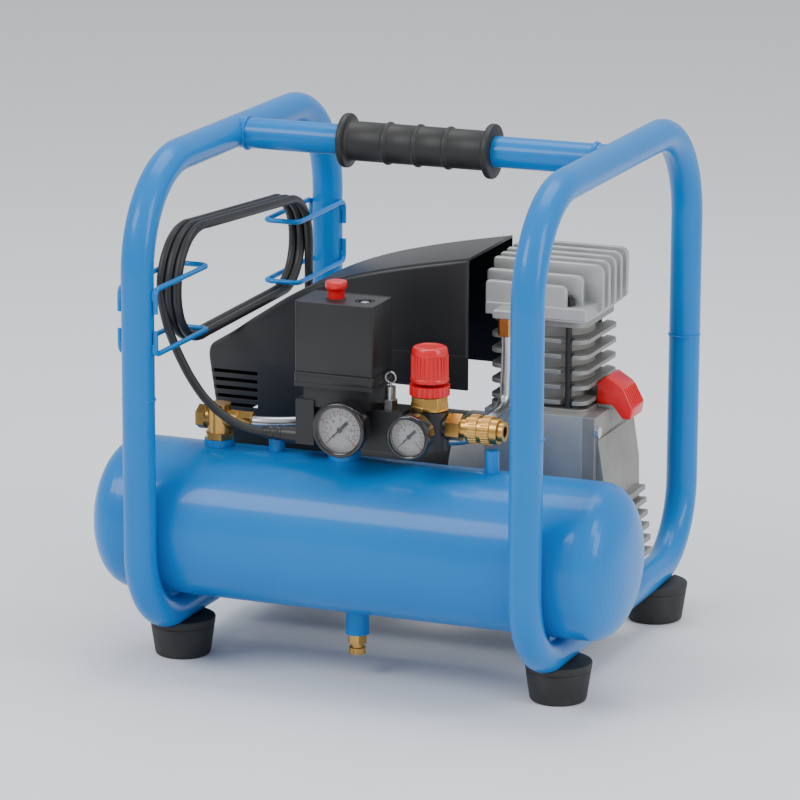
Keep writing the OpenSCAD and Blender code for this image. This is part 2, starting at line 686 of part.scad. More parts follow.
relief_x = 24;
module relief_valve_body() color("#BFC1C3") difference() {
  translate([relief_x, tank_y, 0]) {
    hex(line_z + 12, line_z + 20, 12);
    z_rod(0, 0, line_z + 20, line_z + 32, 5);
  }
  z_rod(relief_x, tank_y, line_z + 14, line_z + 40, 1.5);
}

module relief_ring() color("#D5D6D8") {
  z_rod(relief_x, tank_y, line_z + 22, line_z + 36, 1.5 - fit);
  translate([relief_x, tank_y, line_z + 40]) rotate([90, 0, 0])
    rotate_extrude() translate([5, 0]) circle(1, $fn = 24);
}

// A gauge faces -Y: its case, dial and lens share the place of its middle.
module gauge_case(x, d) translate([x, gauge_y, line_z]) rotate([-90, 0, 0]) difference() {
  union() {
    cylinder(h = case_len, r = d / 2 - 2);
    cylinder(h = 5, r = d / 2);
  }
  translate([0, 0, -1]) cylinder(h = 9, r = d / 2 - 4);
}

module tank_gauge_case() color("#171717") gauge_case(-5, tank_gauge_d);

module line_gauge_case() color("#171717") gauge_case(regulator_x, line_gauge_d);

module gauge_dials() color("white") {
  y_rod(-5, gauge_y + 7, gauge_y + 8, line_z, tank_gauge_d / 2 - 4);
  y_rod(regulator_x, gauge_y + 7, gauge_y + 8, line_z, line_gauge_d / 2 - 4);
}

module pointer(x, d) translate([x, gauge_y + 5, line_z]) rotate([90, 0, 0]) rotate(225) {
  cylinder(h = 1, r = d * 0.05);
  translate([-d * 0.2, -d * 0.02, 0]) cube([d * 0.2, d * 0.04, 1]);
  linear_extrude(1) polygon([[0, -d * 0.02], [d * 0.35, -0.2], [d * 0.35, 0.2], [0, d * 0.02]]);
  translate([0, 0, -1.7]) cylinder(h = 2, r = 0.8);
}

module tank_pointer() color("#111111") pointer(-5, tank_gauge_d);

module line_pointer() color("#111111") pointer(regulator_x, line_gauge_d);

module gauge_lenses() color("#E8F0F4", 0.3) {
  y_rod(-5, gauge_y + 1, gauge_y + 3, line_z, tank_gauge_d / 2 - 4);
  y_rod(regulator_x, gauge_y + 1, gauge_y + 3, line_z, line_gauge_d / 2 - 4);
}

knob_z = tank_top + 79;
module regulator_body() color("#232324") {
  difference() {
    union() {
      z_rod(regulator_x, tank_y, line_z - 22, line_z + 14, 18);
      block([regulator_x - 20, tank_y - 12, line_z - 10], [regulator_x, tank_y + 12, line_z + 10]);
      x_rod(regulator_x, regulator_x + 19, tank_y, line_z, 10);
      y_rod(regulator_x, gauge_y + case_len, tank_y, line_z, 7);
      z_rod(regulator_x, tank_y, line_z + 14, line_z + 28, 16);
      z_rod(regulator_x, tank_y, line_z + 28, knob_z + 20, 8);
    }
    x_rod(regulator_x, regulator_x + 20, tank_y, line_z, 5);
  }
}

module regulator_knob() color("#DE2228") translate([regulator_x, tank_y, 0]) difference() {
  union() {
    translate([0, 0, knob_z]) linear_extrude(27) cog_ring(17.5, 24, 0.7);
    z_rod(0, 0, knob_z + 27, knob_z + 33, 16);
    z_rod(0, 0, knob_z, knob_z + 3, 18.5);
  }
  z_rod(0, 0, knob_z - 1, knob_z + 24, 8 + fit);
}

module lock_ring() color("#DE2228") translate([regulator_x, tank_y, 0]) difference() {
  translate([0, 0, line_z + 28 + gap]) linear_extrude(9) cog_ring(18.5, 24, 0.7);
  z_rod(0, 0, line_z + 28, line_z + 40, 8 + fit);
}

coupler_x = regulator_x + 19;
module coupler_body() color("#B5883C") translate([coupler_x, tank_y, line_z]) rotate([0, 90, 0])
  difference() {
    union() {
      hex(0, 13, 22);
      z_rod(0, 0, 13, 54, 9);
      z_rod(0, 0, -8, 0, 5);
    }
    z_rod(0, 0, 20, 55, coupler_bore_r);
    z_rod(0, 0, -9, 21, 3);
  }

module coupler_sleeve() color("#C39A4E") translate([coupler_x + 19, tank_y, line_z]) rotate([0, 90, 0])
  difference() {
    union() {
      z_rod(0, 0, 0, 30, 12);
      for (z = [3, 15]) translate([0, 0, z]) linear_extrude(8) cog_ring(13.4, 30, 0.7);
    }
    z_rod(0, 0, -1, 31, 9 + fit);
  }

// ---- power cord ----
module cord_gland() color("#1B1B1C") x_rod(-70, switch_x - 38, tank_y - 17, line_z - 18, 8);

module cord_lead() color("#151515") {
  swept_tube(lead_route, cord_d / 2, 10);
  swept_tube([for (z = [coil_back[1], 325, 305, 280, 262]) [tail_x, coil_back[0] + coil_back[2], z]], cord_d / 2, 10);
}

module coil_outline(out) hull() for (c = [coil_front, coil_back])
  translate([c[0], c[1]]) circle(c[2] + out, $fn = 48);

module cord_coil() color("#151515")
  translate([coil_x - coil_pitch * (cord_turns + 1) / 2, 0, 0]) rotate([90, 0, 90])
    linear_extrude(coil_pitch * (cord_turns + 1)) difference() {
      coil_outline(cord_d / 2);
      coil_outline(-cord_d / 2);
    }

module plug() color("#1A1A1A") translate([tail_x, coil_back[0] + coil_back[2], 0]) {
  rotate_extrude() polygon([[0, 262], [7, 262], [9, 245], [18, 240], [18, 218], [16, 214], [0, 214]]);
  for (s = [-1, 1]) z_rod(0, s * 9.5, 195, 214, 2.4);
}

left_upper_hoop();
left_lower_hoop();
right_upper_hoop();
right_lower_hoop();
handle_tube();
handle_grip();
cord_hooks();
rubber_feet();
foot_screws();
tank_shell();
tank_ends();
tank_bosses();
drain_valve_body();
drain_screw();
base_plate();
case_bolts();
crankcase();
crankcase_cover();
cylinder_barrel();
valve_plate();
cylinder_head();
head_studs();
piston();
wrist_pin();
connecting_rod();
crankshaft();
main_bearings();
filter_cover();
filter_bracket();
motor_stator();
motor_windings();
motor_rotor();
motor_end_bell();
cooling_fan();
motor_shroud();
check_valve_body();
check_valve_disc();
discharge_tube();
tube_nuts();
manifold();
switch_base();
switch_cover();
switch_knob();
relief_valve_body();
relief_ring();
tank_gauge_case();
line_gauge_case();
gauge_dials();
tank_pointer();
line_pointer();
gauge_lenses();
regulator_body();
regulator_knob();
lock_ring();
coupler_body();
coupler_sleeve();
cord_gland();
cord_lead();
cord_coil();
plug();
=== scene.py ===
import bpy
import json
import math
import random
from mathutils import Matrix, Vector


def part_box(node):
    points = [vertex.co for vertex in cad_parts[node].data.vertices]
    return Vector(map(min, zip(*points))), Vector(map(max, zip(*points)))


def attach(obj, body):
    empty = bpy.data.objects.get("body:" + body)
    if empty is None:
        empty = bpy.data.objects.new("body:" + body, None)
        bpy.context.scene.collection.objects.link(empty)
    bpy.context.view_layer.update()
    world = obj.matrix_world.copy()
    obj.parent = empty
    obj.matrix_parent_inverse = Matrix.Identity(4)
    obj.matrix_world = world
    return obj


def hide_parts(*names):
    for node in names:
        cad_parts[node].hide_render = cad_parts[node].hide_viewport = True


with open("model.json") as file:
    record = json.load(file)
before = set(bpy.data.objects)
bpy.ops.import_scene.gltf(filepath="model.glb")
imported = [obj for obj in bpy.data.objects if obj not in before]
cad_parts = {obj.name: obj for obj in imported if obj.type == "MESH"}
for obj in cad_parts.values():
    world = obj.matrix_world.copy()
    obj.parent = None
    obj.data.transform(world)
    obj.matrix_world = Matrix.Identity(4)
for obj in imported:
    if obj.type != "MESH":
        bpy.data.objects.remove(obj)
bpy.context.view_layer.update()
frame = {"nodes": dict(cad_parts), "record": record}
nodes = frame["nodes"]
print("frame loaded:", len(nodes), "nodes")


# small tools that every piece uses; sizes are given in mm
def mm(*values):
    made = [v / 1000 for v in values]
    return made[0] if len(made) == 1 else Vector(made)


def deselectAll():
    if bpy.context.object and bpy.context.object.mode != "OBJECT":
        bpy.ops.object.mode_set(mode="OBJECT")
    bpy.ops.object.select_all(action="DESELECT")


def takeUp(piece):
    deselectAll()
    piece.select_set(True)
    bpy.context.view_layer.objects.active = piece


def editFaces(piece, wanted):
    # opens edit mode with only the faces that the test wants
    takeUp(piece)
    for v in piece.data.vertices:
        v.select = False
    for e in piece.data.edges:
        e.select = False
    for f in piece.data.polygons:
        f.select = bool(wanted(f.center, f.normal))
    bpy.context.tool_settings.mesh_select_mode = (False, False, True)
    bpy.ops.object.mode_set(mode="EDIT")


def editEdges(piece, wanted):
    # the test gets the two ends of each edge
    takeUp(piece)
    for v in piece.data.vertices:
        v.select = False
    for f in piece.data.polygons:
        f.select = False
    for e in piece.data.edges:
        a, b = (piece.data.vertices[i].co for i in e.vertices)
        e.select = bool(wanted(a, b))
    bpy.context.tool_settings.mesh_select_mode = (False, True, False)
    bpy.ops.object.mode_set(mode="EDIT")


def leaveEdit():
    bpy.ops.object.mode_set(mode="OBJECT")


def applyModifier(piece, kind, **settings):
    takeUp(piece)
    made = piece.modifiers.new(kind.title(), kind)
    for key, value in settings.items():
        setattr(made, key, value)
    bpy.ops.object.modifier_apply(modifier=made.name)


def roundEdges(piece, width, segments=3, angle=30):
    applyModifier(piece, "BEVEL", width=mm(width), segments=segments, limit_method="ANGLE",
                  angle_limit=math.radians(angle), miter_outer="MITER_ARC")


def settle(piece, turn=None, place=(0, 0, 0)):
    # turns and moves a piece that was made at the origin, then bakes its place into its mesh
    takeUp(piece)
    if turn is not None:
        piece.matrix_world = Matrix.Translation(Vector(place)) @ turn
    else:
        piece.matrix_world = Matrix.Translation(Vector(place)) @ piece.matrix_world
    bpy.ops.object.transform_apply(location=True, rotation=True, scale=True)


def alongAxis(axis):
    return Vector((0, 0, 1)).rotation_difference(Vector(axis)).to_matrix().to_4x4()


def smooth(piece, angle=32):
    takeUp(piece)
    bpy.ops.object.shade_smooth_by_angle(angle=math.radians(angle))


def joined(name, pieces):
    deselectAll()
    for p in pieces:
        p.select_set(True)
    bpy.context.view_layer.objects.active = pieces[0]
    if len(pieces) > 1:
        bpy.ops.object.join()
    made = bpy.context.object
    made.name = name
    return made


def copyPiece(piece, name, turn=None, place=(0, 0, 0)):
    made = piece.copy()
    made.data = piece.data.copy()
    made.name = name
    bpy.context.scene.collection.objects.link(made)
    settle(made, turn, place)
    return made


def keepPiece(piece, body, slot, material, *replaced, angle=32):
    smooth(piece, angle)
    piece.data.materials.clear()
    piece.data.materials.append(material)
    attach(piece, body)
    if replaced:
        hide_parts(*replaced)
    return piece


def turned(name, profile, sides=48, closed=False):
    # a lathe part along Z: a circle is extruded and resized through (height, radius) steps in mm
    deselectAll()
    firstZ, firstR = profile[0]
    bpy.ops.mesh.primitive_circle_add(vertices=sides, radius=mm(firstR), location=(0, 0, mm(firstZ)),
                                      fill_type="NOTHING" if closed else "NGON")
    piece = bpy.context.object
    piece.name = name
    bpy.ops.object.mode_set(mode="EDIT")
    bpy.ops.mesh.select_mode(type="EDGE" if closed else "FACE")
    bpy.ops.mesh.select_all(action="SELECT")
    z, r = firstZ, firstR
    for nextZ, nextR in profile[1:]:
        bpy.ops.mesh.extrude_region_move(TRANSFORM_OT_translate={"value": (0, 0, mm(nextZ - z))})
        ratio = max(nextR, 0.001) / r
        bpy.ops.transform.resize(value=(ratio, ratio, 1), center_override=(0, 0, mm(nextZ)))
        z, r = nextZ, max(nextR, 0.001)
    if closed:
        bpy.ops.mesh.select_all(action="SELECT")
        bpy.ops.mesh.remove_doubles(threshold=mm(0.004))
    bpy.ops.mesh.select_all(action="SELECT")
    bpy.ops.mesh.normals_make_consistent(inside=False)
    leaveEdit()
    settle(piece)
    return piece


def boxPiece(name, low, high):
    deselectAll()
    low, high = Vector(low), Vector(high)
    size = high - low
    bpy.ops.mesh.primitive_cube_add(size=1, location=mm(*((low + high) / 2)), scale=mm(*size))
    piece = bpy.context.object
    piece.name = name
    settle(piece)
    return piece


def prism(name, sides, across, z0, z1, turn=0.0):
    # a hexagon bar or other regular prism, standing on its side planes
    deselectAll()
    radius = mm(across / 2 / math.cos(math.pi / sides))
    bpy.ops.mesh.primitive_cylinder_add(vertices=sides, radius=radius, depth=mm(z1 - z0),
                                        location=(0, 0, mm((z0 + z1) / 2)), rotation=(0, 0, turn))
    piece = bpy.context.object
    piece.name = name
    settle(piece)
    return piece


def wire(name, points, radius, rounded=True, closed=False, sides=5):
    # a bent wire or pipe: a curve through the points, made into a mesh
    curve = bpy.data.curves.new(name, "CURVE")
    curve.dimensions = "3D"
    curve.bevel_depth = mm(radius)
    curve.bevel_resolution = sides
    curve.resolution_u = 10
    curve.use_fill_caps = True
    spline = curve.splines.new("BEZIER" if rounded else "POLY")
    if rounded:
        spline.bezier_points.add(len(points) - 1)
        for knot, p in zip(spline.bezier_points, points):
            knot.co = mm(*p)
            knot.handle_left_type = knot.handle_right_type = "AUTO"
    else:
        spline.points.add(len(points) - 1)
        for knot, p in zip(spline.points, points):
            knot.co = (*mm(*p), 1)
    spline.use_cyclic_u = closed
    piece = bpy.data.objects.new(name, curve)
    bpy.context.scene.collection.objects.link(piece)
    takeUp(piece)
    bpy.ops.object.convert(target="MESH")
    return bpy.context.object


# the camera stands in front, a little to the right and above
cameraSet = {"place": (1449, -3692, 1215), "yaw": 0.3788, "pitch": 0.243, "roll": 0.0041, "lens": 196.0}


def makeCamera():
    data = bpy.data.cameras.new("studioCamera")
    data.sensor_width = 36
    data.lens = cameraSet["lens"]
    data.clip_end = 30
    camera = bpy.data.objects.new("studioCamera", data)
    bpy.context.scene.collection.objects.link(camera)
    turn = (Matrix.Rotation(cameraSet["yaw"], 4, "Z") @ Matrix.Rotation(math.pi / 2 - cameraSet["pitch"], 4, "X")
            @ Matrix.Rotation(cameraSet["roll"], 4, "Z"))
    camera.matrix_world = Matrix.Translation(mm(*cameraSet["place"])) @ turn
    bpy.context.scene.camera = camera


makeCamera()
print("camera placed")


# shader groups that the finishes share
def newGroup(name, inputs, outputs):
    group = bpy.data.node_groups.new(name, "ShaderNodeTree")
    for label, kind, value in inputs:
        socket = group.interface.new_socket(name=label, in_out="INPUT", socket_type=kind)
        if value is not None:
            socket.default_value = value
    for label, kind in outputs:
        group.interface.new_socket(name=label, in_out="OUTPUT", socket_type=kind)
    start = group.nodes.new("NodeGroupInput")
    end = group.nodes.new("NodeGroupOutput")
    return group, start, end


def addNode(tree, kind, **settings):
    made = tree.nodes.new(kind)
    for key, value in settings.items():
        if key in made.inputs:
            made.inputs[key].default_value = value
        else:
            setattr(made, key, value)
    return made


def makeSurfaceGroup():
    # speckle, blotches and a fine bump that every finish uses in its own amount
    group, start, end = newGroup("surfaceGrain", [
        ("Color", "NodeSocketColor", (0.5, 0.5, 0.5, 1)), ("Blotch Color", "NodeSocketColor", (0.4, 0.4, 0.4, 1)),
        ("Blotch Scale", "NodeSocketFloat", 12.0), ("Blotch Amount", "NodeSocketFloat", 0.3),
        ("Grain Scale", "NodeSocketFloat", 900.0), ("Grain Height", "NodeSocketFloat", 0.05),
        ("Roughness", "NodeSocketFloat", 0.4), ("Roughness Spread", "NodeSocketFloat", 0.1)],
        [("Color", "NodeSocketColor"), ("Roughness", "NodeSocketFloat"), ("Normal", "NodeSocketVector")])
    link = group.links.new
    coords = addNode(group, "ShaderNodeTexCoord")
    blotch = addNode(group, "ShaderNodeTexNoise", Detail=5.0, Roughness=0.6)
    grain = addNode(group, "ShaderNodeTexNoise", Detail=4.0, Roughness=0.65)
    link(coords.outputs["Object"], blotch.inputs["Vector"])
    link(coords.outputs["Object"], grain.inputs["Vector"])
    link(start.outputs["Blotch Scale"], blotch.inputs["Scale"])
    link(start.outputs["Grain Scale"], grain.inputs["Scale"])
    spread = addNode(group, "ShaderNodeMapRange")
    spread.inputs["From Min"].default_value = 0.35
    spread.inputs["From Max"].default_value = 0.68
    link(blotch.outputs["Fac"], spread.inputs["Value"])
    share = addNode(group, "ShaderNodeMath", operation="MULTIPLY")
    link(spread.outputs["Result"], share.inputs[0])
    link(start.outputs["Blotch Amount"], share.inputs[1])
    mix = addNode(group, "ShaderNodeMixRGB")
    link(share.outputs[0], mix.inputs["Fac"])
    link(start.outputs["Color"], mix.inputs["Color1"])
    link(start.outputs["Blotch Color"], mix.inputs["Color2"])
    link(mix.outputs["Color"], end.inputs["Color"])
    rough = addNode(group, "ShaderNodeMath", operation="MULTIPLY_ADD")
    link(grain.outputs["Fac"], rough.inputs[0])
    link(start.outputs["Roughness Spread"], rough.inputs[1])
    link(start.outputs["Roughness"], rough.inputs[2])
    link(rough.outputs[0], end.inputs["Roughness"])
    bump = addNode(group, "ShaderNodeBump", Distance=0.0004)
    link(start.outputs["Grain Height"], bump.inputs["Strength"])
    link(grain.outputs["Fac"], bump.inputs["Height"])
    link(bump.outputs["Normal"], end.inputs["Normal"])
    return group


def makeEdgeGroup():
    # a mask of worn or polished edges and a normal that softens sharp corners
    group, start, end = newGroup("softEdge", [
        ("Radius", "NodeSocketFloat", 0.001), ("Wear Scale", "NodeSocketFloat", 160.0),
        ("Wear", "NodeSocketFloat", 0.5)],
        [("Mask", "NodeSocketFloat"), ("Normal", "NodeSocketVector")])
    link = group.links.new
    bevel = addNode(group, "ShaderNodeBevel", samples=6)
    link(start.outputs["Radius"], bevel.inputs["Radius"])
    shape = addNode(group, "ShaderNodeNewGeometry")
    dot = addNode(group, "ShaderNodeVectorMath", operation="DOT_PRODUCT")
    link(bevel.outputs["Normal"], dot.inputs[0])
    link(shape.outputs["Normal"], dot.inputs[1])
    ramp = addNode(group, "ShaderNodeMapRange")
    ramp.inputs["From Min"].default_value = 0.99
    ramp.inputs["From Max"].default_value = 0.82
    link(dot.outputs["Value"], ramp.inputs["Value"])
    coords = addNode(group, "ShaderNodeTexCoord")
    noise = addNode(group, "ShaderNodeTexNoise", Detail=3.0)
    link(coords.outputs["Object"], noise.inputs["Vector"])
    link(start.outputs["Wear Scale"], noise.inputs["Scale"])
    share = addNode(group, "ShaderNodeMath", operation="MULTIPLY")
    link(ramp.outputs["Result"], share.inputs[0])
    link(noise.outputs["Fac"], share.inputs[1])
    strength = addNode(group, "ShaderNodeMath", operation="MULTIPLY", use_clamp=True)
    link(share.outputs[0], strength.inputs[0])
    link(start.outputs["Wear"], strength.inputs[1])
    link(strength.outputs[0], end.inputs["Mask"])
    link(bevel.outputs["Normal"], end.inputs["Normal"])
    return group


grainGroup = makeSurfaceGroup()
edgeGroup = makeEdgeGroup()


def finish(name, color, blotch, metal=0.0, rough=0.4, spread=0.1, grain=900.0, height=0.05, blotchScale=12.0,
           blotchAmount=0.3, edge=None, edgeWear=0.0, radius=0.6, coat=0.0, coatRough=0.05, specular=0.5):
    # one painted, moulded, cast or turned finish; edge is the colour that shows on worn corners
    material = bpy.data.materials.new(name)
    material.use_nodes = True
    tree = material.node_tree
    link = tree.links.new
    shader = tree.nodes["Principled BSDF"]
    shader.inputs["Metallic"].default_value = metal
    shader.inputs["Coat Weight"].default_value = coat
    shader.inputs["Coat Roughness"].default_value = coatRough
    shader.inputs["Specular IOR Level"].default_value = specular
    skin = addNode(tree, "ShaderNodeGroup", node_tree=grainGroup)
    skin.inputs["Color"].default_value = (*color, 1)
    skin.inputs["Blotch Color"].default_value = (*blotch, 1)
    skin.inputs["Blotch Scale"].default_value = blotchScale
    skin.inputs["Blotch Amount"].default_value = blotchAmount
    skin.inputs["Grain Scale"].default_value = grain
    skin.inputs["Grain Height"].default_value = height
    skin.inputs["Roughness"].default_value = rough
    skin.inputs["Roughness Spread"].default_value = spread
    corner = addNode(tree, "ShaderNodeGroup", node_tree=edgeGroup)
    corner.inputs["Radius"].default_value = mm(radius)
    corner.inputs["Wear"].default_value = edgeWear
    mix = addNode(tree, "ShaderNodeMixRGB")
    mix.inputs["Color2"].default_value = (*(edge or color), 1)
    link(corner.outputs["Mask"], mix.inputs["Fac"])
    link(skin.outputs["Color"], mix.inputs["Color1"])
    link(mix.outputs["Color"], shader.inputs["Base Color"])
    link(skin.outputs["Roughness"], shader.inputs["Roughness"])
    both = addNode(tree, "ShaderNodeVectorMath", operation="ADD")
    unit = addNode(tree, "ShaderNodeVectorMath", operation="NORMALIZE")
    link(skin.outputs["Normal"], both.inputs[0])
    link(corner.outputs["Normal"], both.inputs[1])
    link(both.outputs["Vector"], unit.inputs[0])
    link(unit.outputs["Vector"], shader.inputs["Normal"])
    return material


def glassFinish():
    material = bpy.data.materials.new("gaugeGlass")
    material.use_nodes = True
    shader = material.node_tree.nodes["Principled BSDF"]
    shader.inputs["Transmission Weight"].default_value = 1.0
    shader.inputs["IOR"].default_value = 1.45
    smudge = addNode(material.node_tree, "ShaderNodeTexNoise", Scale=60.0, Detail=3.0)
    coords = addNode(material.node_tree, "ShaderNodeTexCoord")
    spread = addNode(material.node_tree, "ShaderNodeMapRange")
    spread.inputs["To Min"].default_value = 0.01
    spread.inputs["To Max"].default_value = 0.07
    material.node_tree.links.new(coords.outputs["Object"], smudge.inputs["Vector"])
    material.node_tree.links.new(smudge.outputs["Fac"], spread.inputs["Value"])
    material.node_tree.links.new(spread.outputs["Result"], shader.inputs["Roughness"])
    return material


blueEnamel = finish("blueEnamel", (0.0, 0.19, 0.56), (0.0, 0.165, 0.5), rough=0.3, spread=0.06, grain=220.0,
                    height=0.05, blotchScale=7.0, blotchAmount=0.5, radius=1.2, coat=0.2, coatRough=0.08, specular=0.2)
gripRubber = finish("gripRubber", (0.012, 0.012, 0.012), (0.022, 0.022, 0.021), rough=0.42, spread=0.2, grain=1500.0,
                    height=0.12, blotchScale=30.0, blotchAmount=0.6, radius=0.5)
footRubber = finish("footRubber", (0.017, 0.017, 0.016), (0.035, 0.034, 0.032), rough=0.55, spread=0.2, grain=1300.0,
                    height=0.2, blotchScale=40.0, blotchAmount=0.7, radius=0.8)
castAlloy = finish("castAlloy", (0.5, 0.51, 0.5), (0.38, 0.385, 0.37), metal=0.75, rough=0.42, spread=0.2, grain=700.0,
                   height=0.5, blotchScale=35.0, blotchAmount=0.5, edge=(0.72, 0.73, 0.73), edgeWear=0.8, radius=0.8)
darkAlloy = finish("darkAlloy", (0.33, 0.33, 0.31), (0.24, 0.24, 0.22), metal=0.7, rough=0.45, spread=0.2, grain=650.0,
                   height=0.55, blotchScale=32.0, blotchAmount=0.6, edge=(0.62, 0.63, 0.62), edgeWear=1.0, radius=0.8)
machinedSteel = finish("machinedSteel", (0.52, 0.53, 0.54), (0.42, 0.43, 0.44), metal=1.0, rough=0.25, spread=0.15,
                       grain=1800.0, height=0.08, radius=0.4)
zincSteel = finish("zincSteel", (0.6, 0.61, 0.62), (0.5, 0.52, 0.5), metal=1.0, rough=0.24, spread=0.15, grain=1200.0,
                   height=0.06, blotchScale=50.0, blotchAmount=0.5, radius=0.4)
blackSteel = finish("blackSteel", (0.015, 0.015, 0.016), (0.03, 0.03, 0.03), rough=0.4, spread=0.15, grain=800.0,
                    height=0.12, radius=0.7)
brassTurned = finish("brassTurned", (0.6, 0.36, 0.1), (0.42, 0.22, 0.06), metal=1.0, rough=0.22, spread=0.15,
                     grain=1400.0, height=0.05, blotchScale=60.0, blotchAmount=0.6, edge=(0.85, 0.6, 0.25),
                     edgeWear=0.7, radius=0.4)
copperWire = finish("copperWire", (0.45, 0.16, 0.06), (0.3, 0.1, 0.04), metal=0.8, rough=0.35, grain=700.0, height=0.3)
blackPlastic = finish("blackPlastic", (0.012, 0.012, 0.0125), (0.02, 0.02, 0.02), rough=0.33, spread=0.16,
                      grain=1900.0, height=0.16, blotchScale=20.0, blotchAmount=0.5, radius=1.0)
glossBlack = finish("glossBlack", (0.006, 0.006, 0.0065), (0.012, 0.012, 0.012), rough=0.16, spread=0.08,
                    grain=900.0, height=0.03, radius=0.8, coat=0.4)
redPlastic = finish("redPlastic", (0.72, 0.003, 0.006), (0.6, 0.002, 0.005), rough=0.3, spread=0.1, grain=1500.0,
                    height=0.06, blotchScale=30.0, radius=0.6, coat=0.2)
dialWhite = finish("dialWhite", (0.8, 0.81, 0.81), (0.74, 0.75, 0.75), rough=0.45, spread=0.1, grain=1500.0,
                   height=0.02, radius=0.2)
inkBlack = finish("inkBlack", (0.01, 0.01, 0.011), (0.02, 0.02, 0.02), rough=0.4, grain=1500.0, height=0.02, radius=0.1)
inkRed = finish("inkRed", (0.55, 0.03, 0.05), (0.5, 0.02, 0.04), rough=0.4, grain=1500.0, height=0.02, radius=0.1)
cordRubber = finish("cordRubber", (0.014, 0.014, 0.014), (0.024, 0.024, 0.023), rough=0.4, spread=0.15, grain=1200.0,
                    height=0.1, blotchScale=25.0, blotchAmount=0.6, radius=0.3)
gaugeGlass = glassFinish()
print("finishes made")

slotFinish = {"frame_blue": blueEnamel, "grip_rubber": gripRubber, "foot_rubber": footRubber, "zinc_steel": zincSteel,
              "black_steel": blackSteel, "cast_aluminium": castAlloy, "dark_cast": darkAlloy, "steel": machinedSteel,
              "red_plastic": redPlastic, "copper": copperWire, "black_plastic": blackPlastic, "brass": brassTurned,
              "gauge_black": glossBlack, "dial_white": dialWhite, "lens": gaugeGlass, "cord_rubber": cordRubber}
for part in frame["record"]["subparts"]:
    cadPiece = nodes[part["node"]]
    cadPiece.data.materials.clear()
    cadPiece.data.materials.append(slotFinish[part["material_slot"]])
print("frame nodes dressed")


# the power cord: lead, coil, tail, plug and strain relief
cordSet = {"diameter": 8.4, "turns": 2.5, "stepsPerTurn": 36, "coilX": -187,
           "front": (-98, 351, 52), "back": (104, 345, 45),  # y, z and radius of the coil's two bends
           "lead": [(-70, -152, 228), (-86, -152, 228), (-102, -154, 229), (-118, -155, 233), (-134, -155, 241),
                    (-150, -153, 252), (-164, -150, 266), (-176, -148, 283), (-186, -147, 302), (-193, -149, 324),
                    (-197, -150, 351)],
           "tailHeights": [325, 305, 280, 262], "pinApart": 19}


def loopPoint(share):
    # a point on one turn of the coil, as (y, z), where share runs from the front end over the top and back
    y1, z1, r1 = cordSet["front"]
    y2, z2, r2 = cordSet["back"]
    apart = math.hypot(y2 - y1, z2 - z1)
    lean = math.atan2(z2 - z1, y2 - y1)
    spread = math.acos((r1 - r2) / apart)
    top, low = lean + spread, lean - spread
    straight = math.sqrt(apart ** 2 - (r1 - r2) ** 2)
    parts = [("arc", y1, z1, r1, math.pi, top), ("line", straight, top), ("arc", y2, z2, r2, top, low),
             ("line", straight, low), ("arc", y1, z1, r1, low + 2 * math.pi, math.pi)]
    lengths = [p[3] * abs(p[4] - p[5]) if p[0] == "arc" else p[1] for p in parts]
    way = share * sum(lengths)
    for index, (part, length) in enumerate(zip(parts, lengths)):
        if way <= length or index == len(parts) - 1:
            t = min(way / length, 1)
            if part[0] == "arc":
                angle = part[4] + t * (part[5] - part[4])
                return part[1] + part[3] * math.cos(angle), part[2] + part[3] * math.sin(angle)
            ends = [(y + r * math.cos(part[2]), z + r * math.sin(part[2]))
                    for y, z, r in (cordSet["front"], cordSet["back"])]
            if index == 3:
                ends.reverse()
            return tuple(a + t * (b - a) for a, b in zip(*ends))
        way -= length


def makeCord():
    route = list(cordSet["lead"])
    perTurn, coilWide = cordSet["stepsPerTurn"], cordSet["diameter"] * cordSet["turns"]
    backY, backZ = cordSet["back"][:2]
    backShare = next(s / 1000 for s in range(1, 1000)
                     if loopPoint(s / 1000)[1] <= backZ and loopPoint(s / 1000)[0] > backY)
    whole, halfSteps = int(cordSet["turns"]), perTurn // 2
    shares = [i / perTurn for i in range(1, whole * perTurn + 1)]
    shares += [whole + backShare * i / halfSteps for i in range(1, halfSteps + 1)]  # over the top to the back
    for share in shares:
        y, z = loopPoint(share % 1.0)
        route.append((cordSet["coilX"] - coilWide / 2 + coilWide * share / shares[-1], y, z))
    tailX, tailY = route[-1][0], route[-1][1]
    route += [(tailX, tailY, z) for z in cordSet["tailHeights"]]
    curve = bpy.data.curves.new("powerCord", "CURVE")
    curve.dimensions = "3D"
    curve.bevel_depth = mm(cordSet["diameter"] / 2)
    curve.bevel_resolution = 5
    curve.resolution_u = 6
    spline = curve.splines.new("BEZIER")
    spline.bezier_points.add(len(route) - 1)
    for knot, p in zip(spline.bezier_points, route):
        knot.co = mm(*p)
        knot.handle_left_type = knot.handle_right_type = "AUTO"
    cord = bpy.data.objects.new("powerCord", curve)
    bpy.context.scene.collection.objects.link(cord)
    curve.materials.append(cordRubber)
    length = sum((Vector(b) - Vector(a)).length for a, b in zip(route, route[1:])) / 1000
    return cord, round(length, 3), (tailX, tailY)


